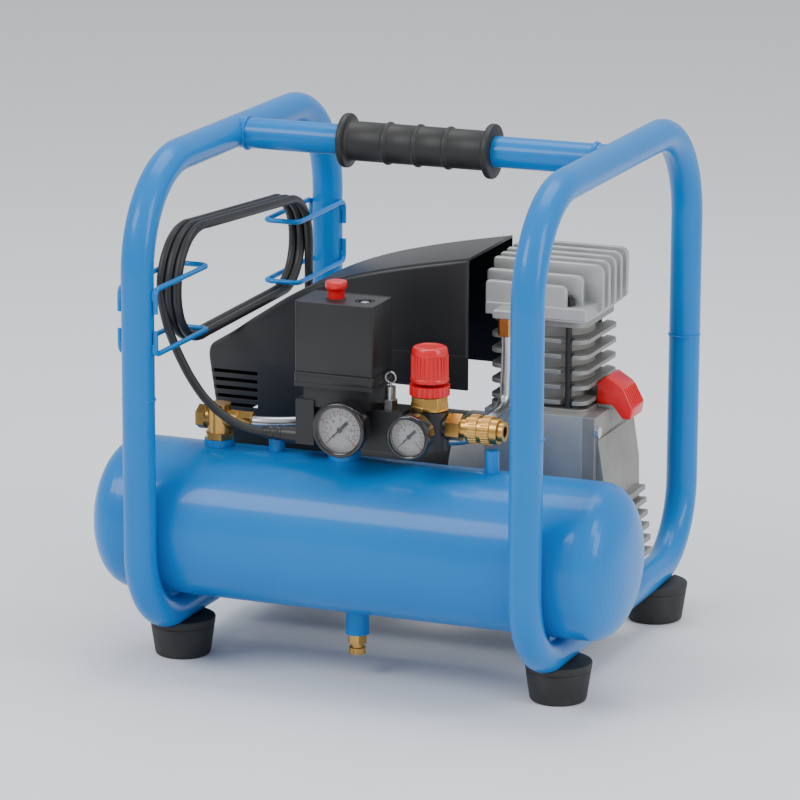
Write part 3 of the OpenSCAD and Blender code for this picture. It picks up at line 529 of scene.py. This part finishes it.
def makePlug(x, y):
    # a moulded plug hanging by its cord, pins down
    body = turned("plugBody", [(262, 5.5), (261, 6.6), (250, 7.6), (245, 9), (241, 13), (239, 17), (236, 18), (226, 18),
                               (224, 17.2), (221, 17.2), (219, 17.8), (216, 17.6), (214.4, 16.4), (214.2, 6)], 48)
    pins = []
    for side in (-1, 1):
        pin = turned("plugPin", [(215, 2.4), (197.5, 2.4), (195.5, 1.6), (195.2, 0.6)], 20)
        settle(pin, None, mm(0, side * cordSet["pinApart"] / 2, 0))
        pins.append(pin)
    pinPiece = joined("plugPins", pins)
    settle(body, None, mm(x, y, 0))
    settle(pinPiece, None, mm(x, y, 0))
    keepPiece(body, "frame", "cord_rubber", cordRubber, "plug")
    keepPiece(pinPiece, "frame", "zinc_steel", zincSteel, "plug")
    return body, pinPiece


cord, cordLength, tailPlace = makeCord()
plugBody, plugPins = makePlug(*tailPlace)
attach(cord, "frame")
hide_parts("cord_lead", "cord_coil")
relief = turned("cordRelief", [(0, 7.6), (4, 7.6), (5, 6.6), (8, 6.6), (9, 7.0), (11, 7.0), (12, 6.1), (15, 6.1),
                               (16, 6.5), (18, 6.5), (19, 5.7), (24, 5.4), (26, 4.6)], 32)
settle(relief, alongAxis((-1, 0, 0)), mm(*cordSet["lead"][0]))
keepPiece(relief, "frame", "black_plastic", blackPlastic)
print("cord made, length", cordLength)


# tools for bent wires, cuts and weld beads
def bentPath(points, radius, steps=6):
    # rounds each inner corner of a polyline
    made = [Vector(points[0])]
    for before, corner, after in zip(points, points[1:], points[2:]):
        before, corner, after = Vector(before), Vector(corner), Vector(after)
        a, b = (before - corner), (after - corner)
        reach = min(radius, a.length * 0.48, b.length * 0.48)
        start, end = corner + a.normalized() * reach, corner + b.normalized() * reach
        made += [start * (1 - t) ** 2 + corner * 2 * t * (1 - t) + end * t * t
                 for t in (i / steps for i in range(steps + 1))]
    made.append(Vector(points[-1]))
    return [tuple(p) for p in made]


def cutBy(piece, cutter):
    applyModifier(piece, "BOOLEAN", object=cutter, operation="DIFFERENCE", solver="EXACT")
    bpy.data.objects.remove(cutter, do_unlink=True)


def bead(name, radius, thick, axis, place, sides=40):
    # a weld bead: a ring whose tube swells and thins a little
    deselectAll()
    bpy.ops.mesh.primitive_torus_add(major_radius=mm(radius), minor_radius=mm(thick), major_segments=sides,
                                     minor_segments=10)
    piece = bpy.context.object
    piece.name = name
    random.seed(len(name) + int(abs(place[0]) + abs(place[1])))
    for v in piece.data.vertices:
        way = math.atan2(v.co.y, v.co.x)
        swell = 1 + 0.006 * math.sin(way * 9 + place[0]) + random.uniform(-0.002, 0.002)
        v.co.x *= swell
        v.co.y *= swell
    settle(piece, alongAxis(axis), mm(*place))
    return piece


# the frame: weld beads, hooks, grip and feet
frameSet = {"hoopX": 187, "postY": 222, "topZ": 475, "lowZ": 48, "tubeR": 15, "jointZ": 265, "handleY": -5,
            "wireR": 2.5, "hookLevels": (308, 368), "hookTip": 106, "hookEnd": 22, "hookBend": 8,
            "tankY": -135, "footPlaces": (-130, 146),
            "bossBeads": ((-88, 8.3, 201), (-21, 15.8, 203.5), (123, 7.3, 203), (-146, 14.9, 204.5)),  # x, radius, z
            "drainBead": (-8, 11.6, 63.6)}


def makeWelds():
    beads = []
    for side in (-1, 1):
        for end in (-1, 1):
            beads.append(bead("hoopBead", 14.9, 1.0, (0, 0, 1),
                              (side * frameSet["hoopX"], end * (frameSet["postY"] - 1.1), frameSet["jointZ"])))
        for lift in (0, 1.1):  # two runs of weld side by side
            x = side * (frameSet["hoopX"] - 13.4 - lift * 1.2)
            beads.append(bead("handleBead", 14.6 + lift * 0.5, 1.5, (1, 0, 0),
                              (x, frameSet["handleY"], frameSet["topZ"])))
    for x, radius, z in frameSet["bossBeads"]:
        beads.append(bead("bossBead", radius, 1.6, (0, 0, 1), (x, frameSet["tankY"], z)))
    x, radius, z = frameSet["drainBead"]
    beads.append(bead("drainBead", radius, 1.5, (0, 0, 1), (x, frameSet["tankY"], z)))
    keepPiece(joined("frameWelds", beads), "frame", "frame_blue", blueEnamel)


def makeHooks():
    wires = []
    x, gap = -frameSet["hoopX"], frameSet["tubeR"] + frameSet["wireR"]
    for side in (-1, 1):
        far, near = side * frameSet["postY"], side * frameSet["hookTip"]
        for z in frameSet["hookLevels"]:
            up = z + frameSet["hookEnd"] * (1 if z == frameSet["hookLevels"][0] else -1)
            path = [(x - gap, far, up), (x - gap, far, z), (x - gap, near, z), (x + gap, near, z),
                    (x + gap, far, z), (x + gap, far, up)]
            wires.append(wire("hookWire", bentPath(path, frameSet["hookBend"]), frameSet["wireR"], rounded=False))
            for leg in (-1, 1):
                spot = (x + leg * (gap - 1.2), far, (z * 3 + up) / 4)  # a blob of weld on each leg
                deselectAll()
                bpy.ops.mesh.primitive_uv_sphere_add(segments=20, ring_count=12, radius=mm(3.6), location=mm(*spot),
                                                     scale=(0.8, 1, 1.7))
                wires.append(bpy.context.object)
                settle(wires[-1])
    keepPiece(joined("cordHooks", wires), "frame", "frame_blue", blueEnamel, "cord_hooks", angle=50)


gripSet = {"half": 75, "bodyR": 18.5, "flangeR": 25.5, "boreR": 14.6, "ribPlaces": (-30, 0, 30)}


def makeGrip():
    half, bodyR, flangeR, boreR = (gripSet[key] for key in ("half", "bodyR", "flangeR", "boreR"))
    left = [(-half, boreR), (-half, flangeR - 1.6), (-half + 0.5, flangeR - 0.5), (-half + 1.6, flangeR),
            (-half + 5, flangeR), (-half + 6, flangeR - 0.6), (-half + 6.4, flangeR - 1.8), (-half + 6.8, bodyR + 2.6),
            (-half + 7.8, bodyR + 0.9), (-half + 9.5, bodyR)]
    middle = []
    for x in gripSet["ribPlaces"]:
        middle += [(x - 3.2, bodyR), (x - 2.4, bodyR + 0.4), (x - 1.4, bodyR + 1.4), (x, bodyR + 1.7),
                   (x + 1.4, bodyR + 1.4), (x + 2.4, bodyR + 0.4), (x + 3.2, bodyR)]
    right = [(-z, r) for z, r in reversed(left)]
    grip = turned("handleGrip", left + middle + right + [left[0]], 64, closed=True)
    settle(grip, alongAxis((1, 0, 0)), mm(0, frameSet["handleY"], frameSet["topZ"]))
    keepPiece(grip, "frame", "grip_rubber", gripRubber, "handle_grip")


def makeFeet():
    profile = [(0, 7), (0, 23.6), (0.5, 25), (1.6, 25.9), (3.5, 26.4), (27.6, 29.9), (28.3, 29.7), (28.8, 29.2),
               (29.3, 29.7), (29.9, 30.3), (35, 31), (36.4, 30.6), (37, 29.6), (37, 7), (0, 7)]
    feet = []
    for x in (-frameSet["hoopX"], frameSet["hoopX"]):
        for y in frameSet["footPlaces"]:
            foot = turned("rubberFoot", profile, 56, closed=True)
            settle(foot, None, mm(x, y, 0))
            feet.append(foot)
    block = joined("rubberFeet", feet)
    for x in (-frameSet["hoopX"], frameSet["hoopX"]):
        deselectAll()
        bpy.ops.mesh.primitive_cylinder_add(vertices=48, radius=mm(14.8), depth=0.5,
                                            location=mm(x, 0, frameSet["lowZ"]), rotation=(math.pi / 2, 0, 0))
        cutBy(block, bpy.context.object)
    keepPiece(block, "frame", "foot_rubber", footRubber, "rubber_feet")


makeWelds()
makeHooks()
makeGrip()
makeFeet()
print("frame detailed")


# the pressure switch: cover, screw and knob
switchSet = {"low": (-60, -163, 281), "high": (18, -113, 356), "knob": (-28, -138), "recess": (0, -138)}


def makeSwitch():
    (x0, y0, z0), (x1, y1, z1) = switchSet["low"], switchSet["high"]
    skirt = boxPiece("coverSkirt", (x0, y0, z0), (x1, y1, z0 + 9))
    editEdges(skirt, lambda a, b: abs(a.z - b.z) > 0.005)
    bpy.ops.mesh.bevel(offset=mm(4), segments=5)
    leaveEdit()
    roundEdges(skirt, 0.5, 2, 60)
    cover = boxPiece("coverTop", (x0 + 0.8, y0 + 0.8, z0 + 9.6), (x1 - 0.8, y1 - 0.8, z1))
    editEdges(cover, lambda a, b: abs(a.z - b.z) > 0.005)
    bpy.ops.mesh.bevel(offset=mm(3.2), segments=5)
    leaveEdit()
    editFaces(cover, lambda c, n: n.z > 0.9)
    bpy.ops.mesh.inset(thickness=mm(1.1))
    bpy.ops.mesh.inset(thickness=mm(0.5))
    bpy.ops.transform.translate(value=(0, 0, mm(-0.5)))
    leaveEdit()
    roundEdges(cover, 0.7, 3, 50)
    pocket = turned("recessCutter", [(353.4, 9), (357.4, 9.2)], 48)
    settle(pocket, None, mm(*switchSet["recess"], 0))
    cutBy(cover, pocket)
    hole = turned("knobCutter", [(340, 8.2), (358, 8.2)], 40)
    settle(hole, None, mm(*switchSet["knob"], 0))
    cutBy(cover, hole)
    neck = boxPiece("coverNeck", (x0 + 1.6, y0 + 1.6, z0 + 8.6), (x1 - 1.6, y1 - 1.6, z0 + 10))
    rim = turned("recessRim", [(353.2, 6.4), (355.2, 6.4), (355.5, 6.7), (355.5, 7.7), (355.2, 8), (353.2, 8),
                               (353.2, 6.4)], 48, closed=True)
    settle(rim, None, mm(*switchSet["recess"], 0))
    collar = turned("knobCollar", [(355, 8.2), (356.2, 8.2), (356.2, 9.6), (355.4, 10.2), (355, 10.2), (355, 8.2)],
                    40, closed=True)
    settle(collar, None, mm(*switchSet["knob"], 0))
    keepPiece(joined("switchCover", [cover, skirt, neck, rim, collar]), "frame", "black_plastic", blackPlastic,
              "switch_cover")
    screw = turned("coverScrew", [(353, 1), (353, 4.2), (354.4, 4.2), (355, 3.4), (355.3, 0.4)], 32)
    for turn in (0, math.pi / 2):
        deselectAll()
        bpy.ops.mesh.primitive_cube_add(size=1, location=mm(0, 0, 355.2), scale=mm(5, 0.9, 1.6),
                                        rotation=(0, 0, turn + 0.4))
        cutBy(screw, bpy.context.object)
    settle(screw, None, mm(*switchSet["recess"], 0))
    keepPiece(screw, "frame", "zinc_steel", zincSteel)
    knob = turned("switchKnob", [(350, 6.6), (350, 7.4), (360, 7.6), (363.6, 7.9), (364.6, 8.6), (365, 9.5),
                                 (365.8, 10), (370.2, 10), (371.2, 9.7), (371.8, 9), (372, 8), (371.7, 5),
                                 (371.6, 0.5)], 48)
    settle(knob, None, mm(*switchSet["knob"], 0))
    keepPiece(knob, "switch_knob", "red_plastic", redPlastic, "switch_knob")


makeSwitch()
print("switch made")


# the two gauges: case, face, scales, screws and pointer
gaugeSet = {"faceY": -190, "z": 246, "sweep": 270, "start": 225, "paper": -6.95, "needleLow": -5, "needleHigh": -4.3,
            "tank": {"x": -5, "across": 51, "body": "tank_pointer", "case": "tank_gauge_case", "red": 34, "black": 12,
                     "numbers": ("0", "2", "4", "6", "8", "10", "12"), "outer": ("0", "40", "80", "120", "160")},
            "line": {"x": 62, "across": 41, "body": "line_pointer", "case": "line_gauge_case", "red": 34, "black": 12,
                     "numbers": ("0", "4", "8", "12"), "outer": ("0", "60", "120", "180")}}


def onDial(piece, x):
    # lays a flat piece, drawn in the XY plane with +Z outward, onto a gauge's face
    settle(piece, Matrix.Rotation(math.pi / 2, 4, "X"), mm(x, gaugeSet["faceY"], gaugeSet["z"]))
    return piece


def tickMarks(count, inner, outer, wide, every=1):
    # every so many ticks one is long and the others are short and thin
    marks = []
    for i in range(count + 1):
        angle = math.radians(gaugeSet["start"] - gaugeSet["sweep"] * i / count)
        low = inner if i % every == 0 else (inner + outer) / 2
        deselectAll()
        bpy.ops.mesh.primitive_cube_add(size=1, scale=mm(outer - low, wide if i % every == 0 else wide * 0.6, 0.16))
        tick = bpy.context.object
        middle = (outer + low) / 2
        tick.location = mm(middle * math.cos(angle), middle * math.sin(angle), gaugeSet["paper"])
        tick.rotation_euler = (0, 0, angle)
        settle(tick)
        marks.append(tick)
    return marks


def dialNumbers(labels, radius, size):
    made = []
    for i, label in enumerate(labels):
        angle = math.radians(gaugeSet["start"] - gaugeSet["sweep"] * i / (len(labels) - 1))
        deselectAll()
        bpy.ops.object.text_add(location=mm(radius * math.cos(angle), radius * math.sin(angle), gaugeSet["paper"]))
        number = bpy.context.object
        number.data.body = label
        number.data.size = mm(size)
        number.data.align_x = "CENTER"
        number.data.align_y = "CENTER"
        number.data.extrude = mm(0.05)
        bpy.ops.object.convert(target="MESH")
        settle(bpy.context.object)
        made.append(bpy.context.object)
    return made


def makeGauge(kind):
    part = gaugeSet[kind]
    big = part["across"] / 2
    lip = big * 0.83
    x = part["x"]
    case = turned(kind + "GaugeCase", [
        (-27, 4), (-27, big - 7), (-26.3, big - 5), (-24.5, big - 3.4), (-21, big - 2.4), (-9, big - 1.9),
        (-8.4, big - 0.7), (-7.6, big - 0.1), (-6.6, big), (-2.2, big), (-0.9, big - 0.4), (-0.2, big - 1.2),
        (0, big - 2.2), (-0.2, lip + 0.9), (-0.8, lip + 0.2), (-1.8, lip), (-8, lip), (-8.2, 4), (-27, 4)], 72,
        closed=True)
    stem = prism("gaugeStem", 4, 13, -40, -26.5, math.pi / 4)
    roundEdges(stem, 0.8, 2)
    onDial(case, x)
    onDial(stem, x)
    keepPiece(joined(kind + "GaugeCase", [case, stem]), "frame", "gauge_black", glossBlack, part["case"])
    face = turned(kind + "GaugeFace", [(-8.1, 1), (-8.1, lip + 0.1), (-7.1, lip + 0.1), (-7, lip - 0.1), (-7, 0.5)],
                  72)
    onDial(face, x)
    keepPiece(face, "frame", "dial_white", dialWhite, *(("gauge_dials",) if kind == "tank" else ()))
    black = tickMarks(part["black"] * 4, big * 0.48, big * 0.59, big * 0.024, every=4)
    black += dialNumbers(part["numbers"], big * 0.37, big * 0.19)
    red = tickMarks(part["red"], big * 0.61, big * 0.7, big * 0.032, every=2)
    red += dialNumbers(part["outer"], big * 0.76, big * 0.125)
    for name, marks, ink in ((kind + "BlackScale", black, inkBlack), (kind + "RedScale", red, inkRed)):
        scale = joined(name, marks)
        onDial(scale, x)
        keepPiece(scale, "frame", "dial_white", ink)
    screws = []
    for angle in (-70, -110):
        spot = (big * 0.56 * math.cos(math.radians(angle)), big * 0.56 * math.sin(math.radians(angle)))
        screw = turned("dialScrew", [(-7.1, 0.4), (-7.1, big * 0.06), (-6.8, big * 0.06), (-6.6, big * 0.04),
                                     (-6.6, 0.2)], 20)
        deselectAll()
        bpy.ops.mesh.primitive_cube_add(size=1, location=mm(0, 0, -6.5), scale=mm(big * 0.15, 0.3, 0.3),
                                        rotation=(0, 0, 0.7))
        cutBy(screw, bpy.context.object)
        settle(screw, None, mm(*spot, 0))
        screws.append(screw)
    screwPiece = joined(kind + "DialScrews", screws)
    onDial(screwPiece, x)
    keepPiece(screwPiece, "frame", "zinc_steel", zincSteel)
    under, over = gaugeSet["needleLow"], gaugeSet["needleHigh"]
    needle = boxPiece("needle", (0, -big * 0.035, under), (big * 0.7, big * 0.035, over))
    editFaces(needle, lambda c, n: n.x > 0.9)
    bpy.ops.transform.resize(value=(1, 0.2, 1))
    leaveEdit()
    tail = boxPiece("needleTail", (-big * 0.4, -big * 0.045, under), (0, big * 0.045, over))
    editFaces(tail, lambda c, n: n.x < -0.9)
    bpy.ops.transform.resize(value=(1, 1.5, 1))
    leaveEdit()
    hub = turned("needleHub", [(-6.8, 0.6), (-6.8, 0.9), (-5.2, 0.9), (-5.2, big * 0.1), (-4.4, big * 0.1),
                               (-4, big * 0.07), (-3.9, 0.3)], 28)
    pointer = joined(kind + "GaugePointer", [needle, tail, hub])
    settle(pointer, Matrix.Rotation(math.radians(gaugeSet["start"]), 4, "Z"))
    onDial(pointer, x)
    keepPiece(pointer, part["body"], "gauge_black", inkBlack, part["body"])


makeGauge("tank")
makeGauge("line")
print("gauges made")


# flat shapes with rounded corners
def roundLoop(corners, steps=5):
    # corners are (a, b, radius) in mm, and each corner is rounded by its own radius
    made = []
    count = len(corners)
    for i, (a, b, radius) in enumerate(corners):
        corner = Vector((a, b))
        before, after = Vector(corners[i - 1][:2]), Vector(corners[(i + 1) % count][:2])
        if radius <= 0:
            made.append(corner)
            continue
        back, ahead = before - corner, after - corner
        reach = min(radius, back.length * 0.48, ahead.length * 0.48)
        start, end = corner + back.normalized() * reach, corner + ahead.normalized() * reach
        made += [start * (1 - t) ** 2 + corner * 2 * t * (1 - t) + end * t * t
                 for t in (k / steps for k in range(steps + 1))]
    return made


def plate(name, corners, y0, y1, soft=0.6, softSteps=2):
    # a solid of that outline in X and Z between two values of Y, with softened edges
    loop = roundLoop(corners)
    curve = bpy.data.curves.new(name, "CURVE")
    curve.dimensions = "2D"
    curve.fill_mode = "BOTH"
    curve.bevel_depth = mm(soft)
    curve.bevel_resolution = softSteps
    curve.extrude = mm((y1 - y0) / 2 - soft)
    curve.offset = mm(-soft)
    spline = curve.splines.new("POLY")
    spline.points.add(len(loop) - 1)
    for knot, p in zip(spline.points, loop):
        knot.co = (mm(p.x), mm(p.y), 0, 1)
    spline.use_cyclic_u = True
    piece = bpy.data.objects.new(name, curve)
    bpy.context.scene.collection.objects.link(piece)
    takeUp(piece)
    bpy.ops.object.convert(target="MESH")
    piece = bpy.context.object
    bpy.ops.object.mode_set(mode="EDIT")
    bpy.ops.mesh.select_all(action="SELECT")
    bpy.ops.mesh.remove_doubles(threshold=mm(0.01))
    bpy.ops.mesh.normals_make_consistent(inside=False)
    leaveEdit()
    settle(piece, Matrix.Rotation(math.pi / 2, 4, "X"), mm(0, (y0 + y1) / 2, 0))
    return piece


def cutBox(piece, low, high):
    cutBy(piece, boxPiece("boxCutter", low, high))


# the shroud over the motor
shroudSet = {"y": (-24, 96), "wall": 2.5, "slots": 5, "motor": (36, 160), "coolingR": 56.3,
             "screws": ((-76, 90), (-196, 90), (-62, 268), (44, 268)),
             "outer": [(-194, 66, 2), (-201, 217, 0), (-208, 262, 6), (-206, 272, 5), (-180, 288, 14), (-165, 299, 14),
                       (-120, 329, 16), (-90, 342, 14), (-60, 352, 14), (-20, 362, 16), (14, 369, 14), (57, 377, 0),
                       (57, 251, 0), (-70, 251, 2), (-70, 66, 2)],
             "inner": [(-191.4, 50, 0), (-198.4, 217, 0), (-205.3, 262, 4), (-203.6, 270.4, 4), (-178.6, 285.9, 14),
                       (-163.5, 297, 14), (-118.7, 326.8, 16), (-89.2, 339.6, 14), (-59.3, 349.6, 14),
                       (-19.5, 359.6, 16), (14.5, 366.5, 14), (57, 374.4, 0), (75, 377, 0), (75, 240, 0),
                       (-69, 240, 0), (-69, 252, 0), (-72.5, 252, 0), (-72.5, 50, 0)]}


def makeShroud():
    y0, y1 = shroudSet["y"]
    shell = plate("motorShroud", shroudSet["outer"], y0, y1, 5, 4)
    hollow = plate("hollowCutter", shroudSet["inner"], y0 + shroudSet["wall"], y1 - shroudSet["wall"], 3, 3)
    cutBy(shell, hollow)
    cutBox(shell, (56.2, y0 - 5, 240), (80, y1 + 5, 400))
    for i in range(shroudSet["slots"]):
        cutBox(shell, (-212, y0 - 4, 214 + 8 * i), (-156, y0 + 3.4, 217.5 + 8 * i))
        cutBox(shell, (-214, y0 + 14, 120 + 16 * i), (-188, y1 - 14, 128 + 16 * i))
    deselectAll()
    bpy.ops.mesh.primitive_cylinder_add(vertices=64, radius=mm(shroudSet["coolingR"]), depth=mm(12),
                                        location=mm(-70, *shroudSet["motor"]), rotation=(0, math.pi / 2, 0))
    cutBy(shell, bpy.context.object)
    lip = plate("ductLip", [(-66, 251.4, 1), (56.8, 251.4, 1), (56.8, 284, 1), (-66, 284, 1)], y0 - 0.1, y0 + 1.2,
                0.5)
    keepPiece(joined("motorShroud", [shell, lip]), "frame", "black_plastic", blackPlastic, "motor_shroud", angle=28)
    screws = []
    for x, z in shroudSet["screws"]:
        head = turned("shroudScrew", [(-1, 0.5), (-1, 4.2), (0.5, 4.2), (1.5, 3.4), (2, 1.5), (2.1, 0.3)], 28)
        settle(head, alongAxis((0, -1, 0)), mm(x, y0 + 1.8, z))
        screws.append(head)
    keepPiece(joined("shroudScrews", screws), "frame", "zinc_steel", blackSteel)


makeShroud()
print("shroud made")


# the cylinder head, the intake cap and the delivery pipe
headSet = {"z": 325, "base": 12, "y": 36, "pitch": 17, "thick": 5.5,
           # where each fin starts, ends and tops out, from the front; the last fin takes the CAD head's own edge
           "left": (71, 66, 66, 66, 66, 66, 66), "right": (150, 160, 174, 178, 182, 186),
           "top": (357, 364, 372, 373, 374, 375)}


def makeHead():
    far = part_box("cylinder_head")[1] * 1000
    rights, tops = (*headSet["right"], far.x), (*headSet["top"], far.z)
    z, base = headSet["z"], headSet["base"]
    pieces = [plate("headBase", [(71, z, 1), (169, z, 1), (169, z + base, 2), (71, z + base, 2)], -18, 88, 1.0)]
    for i, left in enumerate(headSet["left"]):
        y = headSet["y"] + (i - 3) * headSet["pitch"]
        right, top = min(rights[i], far.x), min(tops[i], far.z)
        if right <= 167:
            outline = [(left, z + 0.2, 1.5), (right, z + 0.2, 1), (right, top, 6), (left, top, 4)]
        else:  # a fin that overhangs the base slopes out from it
            outline = [(left, z + 0.2, 1.5), (167, z, 1), (right, z + (right - 167) * 0.8, 2), (right, top, 9),
                       (left, top, 4)]
        pieces.append(plate("headFin", outline, y - headSet["thick"] / 2, y + headSet["thick"] / 2, 1.1))
    pieces.append(plate("headPort", [(84, z, 1), (106, z, 1), (106, z + 8, 2), (84, z + 8, 2)], -34, -12, 1.0))
    head = joined("cylinderHead", pieces)
    keepPiece(head, "frame", "cast_aluminium", castAlloy, "cylinder_head", angle=35)


capSet = {"y": (17, 51), "ribs": 7, "firstRib": 20.2, "pitch": 4.6, "lean": -28,
          "outline": [(168.6, 240.4, 1), (168.6, 260.4, 2), (178, 268, 3), (194, 258, 3), (204, 238, 2), (202, 228, 2),
                      (194, 228, 1.5), (186, 238, 1), (184, 240.4, 1)]}


def makeIntake():
    # red ribbed cap over the intake filter
    ribs = [plate("filterCap", capSet["outline"], *capSet["y"], 1.6)]
    lean = Matrix.Rotation(math.radians(capSet["lean"]), 4, "Y")
    for i in range(capSet["ribs"]):
        deselectAll()
        bpy.ops.mesh.primitive_cube_add(size=1, scale=mm(5.4, 1.8, 19))
        rib = bpy.context.object
        settle(rib)
        roundEdges(rib, 0.6, 2)
        settle(rib, lean, mm(198, capSet["firstRib"] + capSet["pitch"] * i, 247))
        ribs.append(rib)
    keepPiece(joined("filterCap", ribs), "frame", "red_plastic", redPlastic, "filter_cover")


pipeSet = {"radius": 5,
           "route": [(-124, -135, 232), (-104, -134, 232), (-84, -127, 232), (-64, -115, 232), (-40, -102, 232),
                     (-15, -97, 231), (15, -96, 228), (45, -97, 224), (70, -93, 222), (86, -83, 226), (94, -67, 238),
                     (95, -31, 247), (95, -27, 265), (95, -25, 283), (95, -25, 309)]}


def makePipe():
    pipe = wire("dischargePipe", pipeSet["route"], pipeSet["radius"], sides=8)
    keepPiece(pipe, "frame", "steel", zincSteel, "discharge_tube", angle=60)


makeHead()
makeIntake()
makePipe()
nodes["crankcase"].data.materials[0] = castAlloy
print("pump detailed")


# the pressure regulator
regulatorSet = {"x": 62, "y": -135, "ribs": 28, "ribR": 16}


def makeRegulator():
    x, y = regulatorSet["x"], regulatorSet["y"]
    knob = turned("regulatorKnob", [(286, 8), (286, 16.4), (286.6, 17.2), (287.6, 17.5), (289.6, 17.5), (290.6, 16.9),
                                    (291, 16.2), (310.6, 15.7), (311, 16.3), (311.8, 16.6), (313, 16.5), (316.6, 16),
                                    (318, 15.2), (318.8, 13.6), (319, 11.5), (318.3, 10.6), (318.2, 0.5)], 72)
    parts = [knob]
    rib = turned("knobRib", [(290, 0.4), (290.4, 1.15), (310, 1.1), (310.8, 0.7), (311, 0.2)], 10)
    settle(rib, None, mm(regulatorSet["ribR"], 0, 0))
    for i in range(regulatorSet["ribs"]):
        parts.append(copyPiece(rib, "knobRib", Matrix.Rotation(math.tau * i / regulatorSet["ribs"], 4, "Z")))
    bpy.data.objects.remove(rib, do_unlink=True)
    knob = joined("regulatorKnob", parts)
    settle(knob, None, mm(x, y, 0))
    keepPiece(knob, "regulator_knob", "red_plastic", redPlastic, "regulator_knob")
    nut = turned("regulatorNut", [(260.3, 14), (260.3, 17.6), (261, 18.4), (264.6, 18.4), (265.2, 17.8), (272.6, 17.6),
                                  (273.8, 17), (273.8, 14), (260.3, 14)], 8, closed=True)
    roundEdges(nut, 0.4, 2)
    settle(nut, None, mm(x, y, 0))
    keepPiece(nut, "frame", "brass", brassTurned)


makeRegulator()
print("regulator made")


# floor, sky and lights
studioSet = {"floor": (0.86, 0.87, 0.88), "sky": (0.93, 0.95, 1.0), "skyStrength": 0.75,
             "lamps": (("keyLight", (-1.5, -2.2, 2.4), (1.6, 1.2), 55),  # place and size in metres, power in watts
                       ("sideLight", (2.4, -0.6, 1.5), (0.8, 1.8), 30),
                       ("topLight", (0.0, 0.6, 2.6), (2.0, 1.4), 35))}


def areaLight(name, place, size, power, aim=(0, 0, 0.2)):
    data = bpy.data.lights.new(name, "AREA")
    data.shape = "RECTANGLE"
    data.size, data.size_y = size
    data.energy = power
    lamp = bpy.data.objects.new(name, data)
    bpy.context.scene.collection.objects.link(lamp)
    lamp.location = place
    lamp.rotation_euler = (Vector(place) - Vector(aim)).to_track_quat("Z", "Y").to_euler()


def makeStudio():
    deselectAll()
    bpy.ops.mesh.primitive_plane_add(size=14, location=(0, 0, 0))
    floor = bpy.context.object
    floor.name = "studioFloor"
    paper = finish("studioPaper", studioSet["floor"], (0.84, 0.85, 0.86), rough=0.75, spread=0.05, grain=300.0,
                   height=0.01)
    floor.data.materials.append(paper)
    world = bpy.data.worlds.new("studioSky")
    world.use_nodes = True
    world.node_tree.nodes["Background"].inputs["Color"].default_value = (*studioSet["sky"], 1)
    world.node_tree.nodes["Background"].inputs["Strength"].default_value = studioSet["skyStrength"]
    bpy.context.scene.world = world
    for lamp in studioSet["lamps"]:
        areaLight(*lamp)


makeStudio()
print("studio lit")
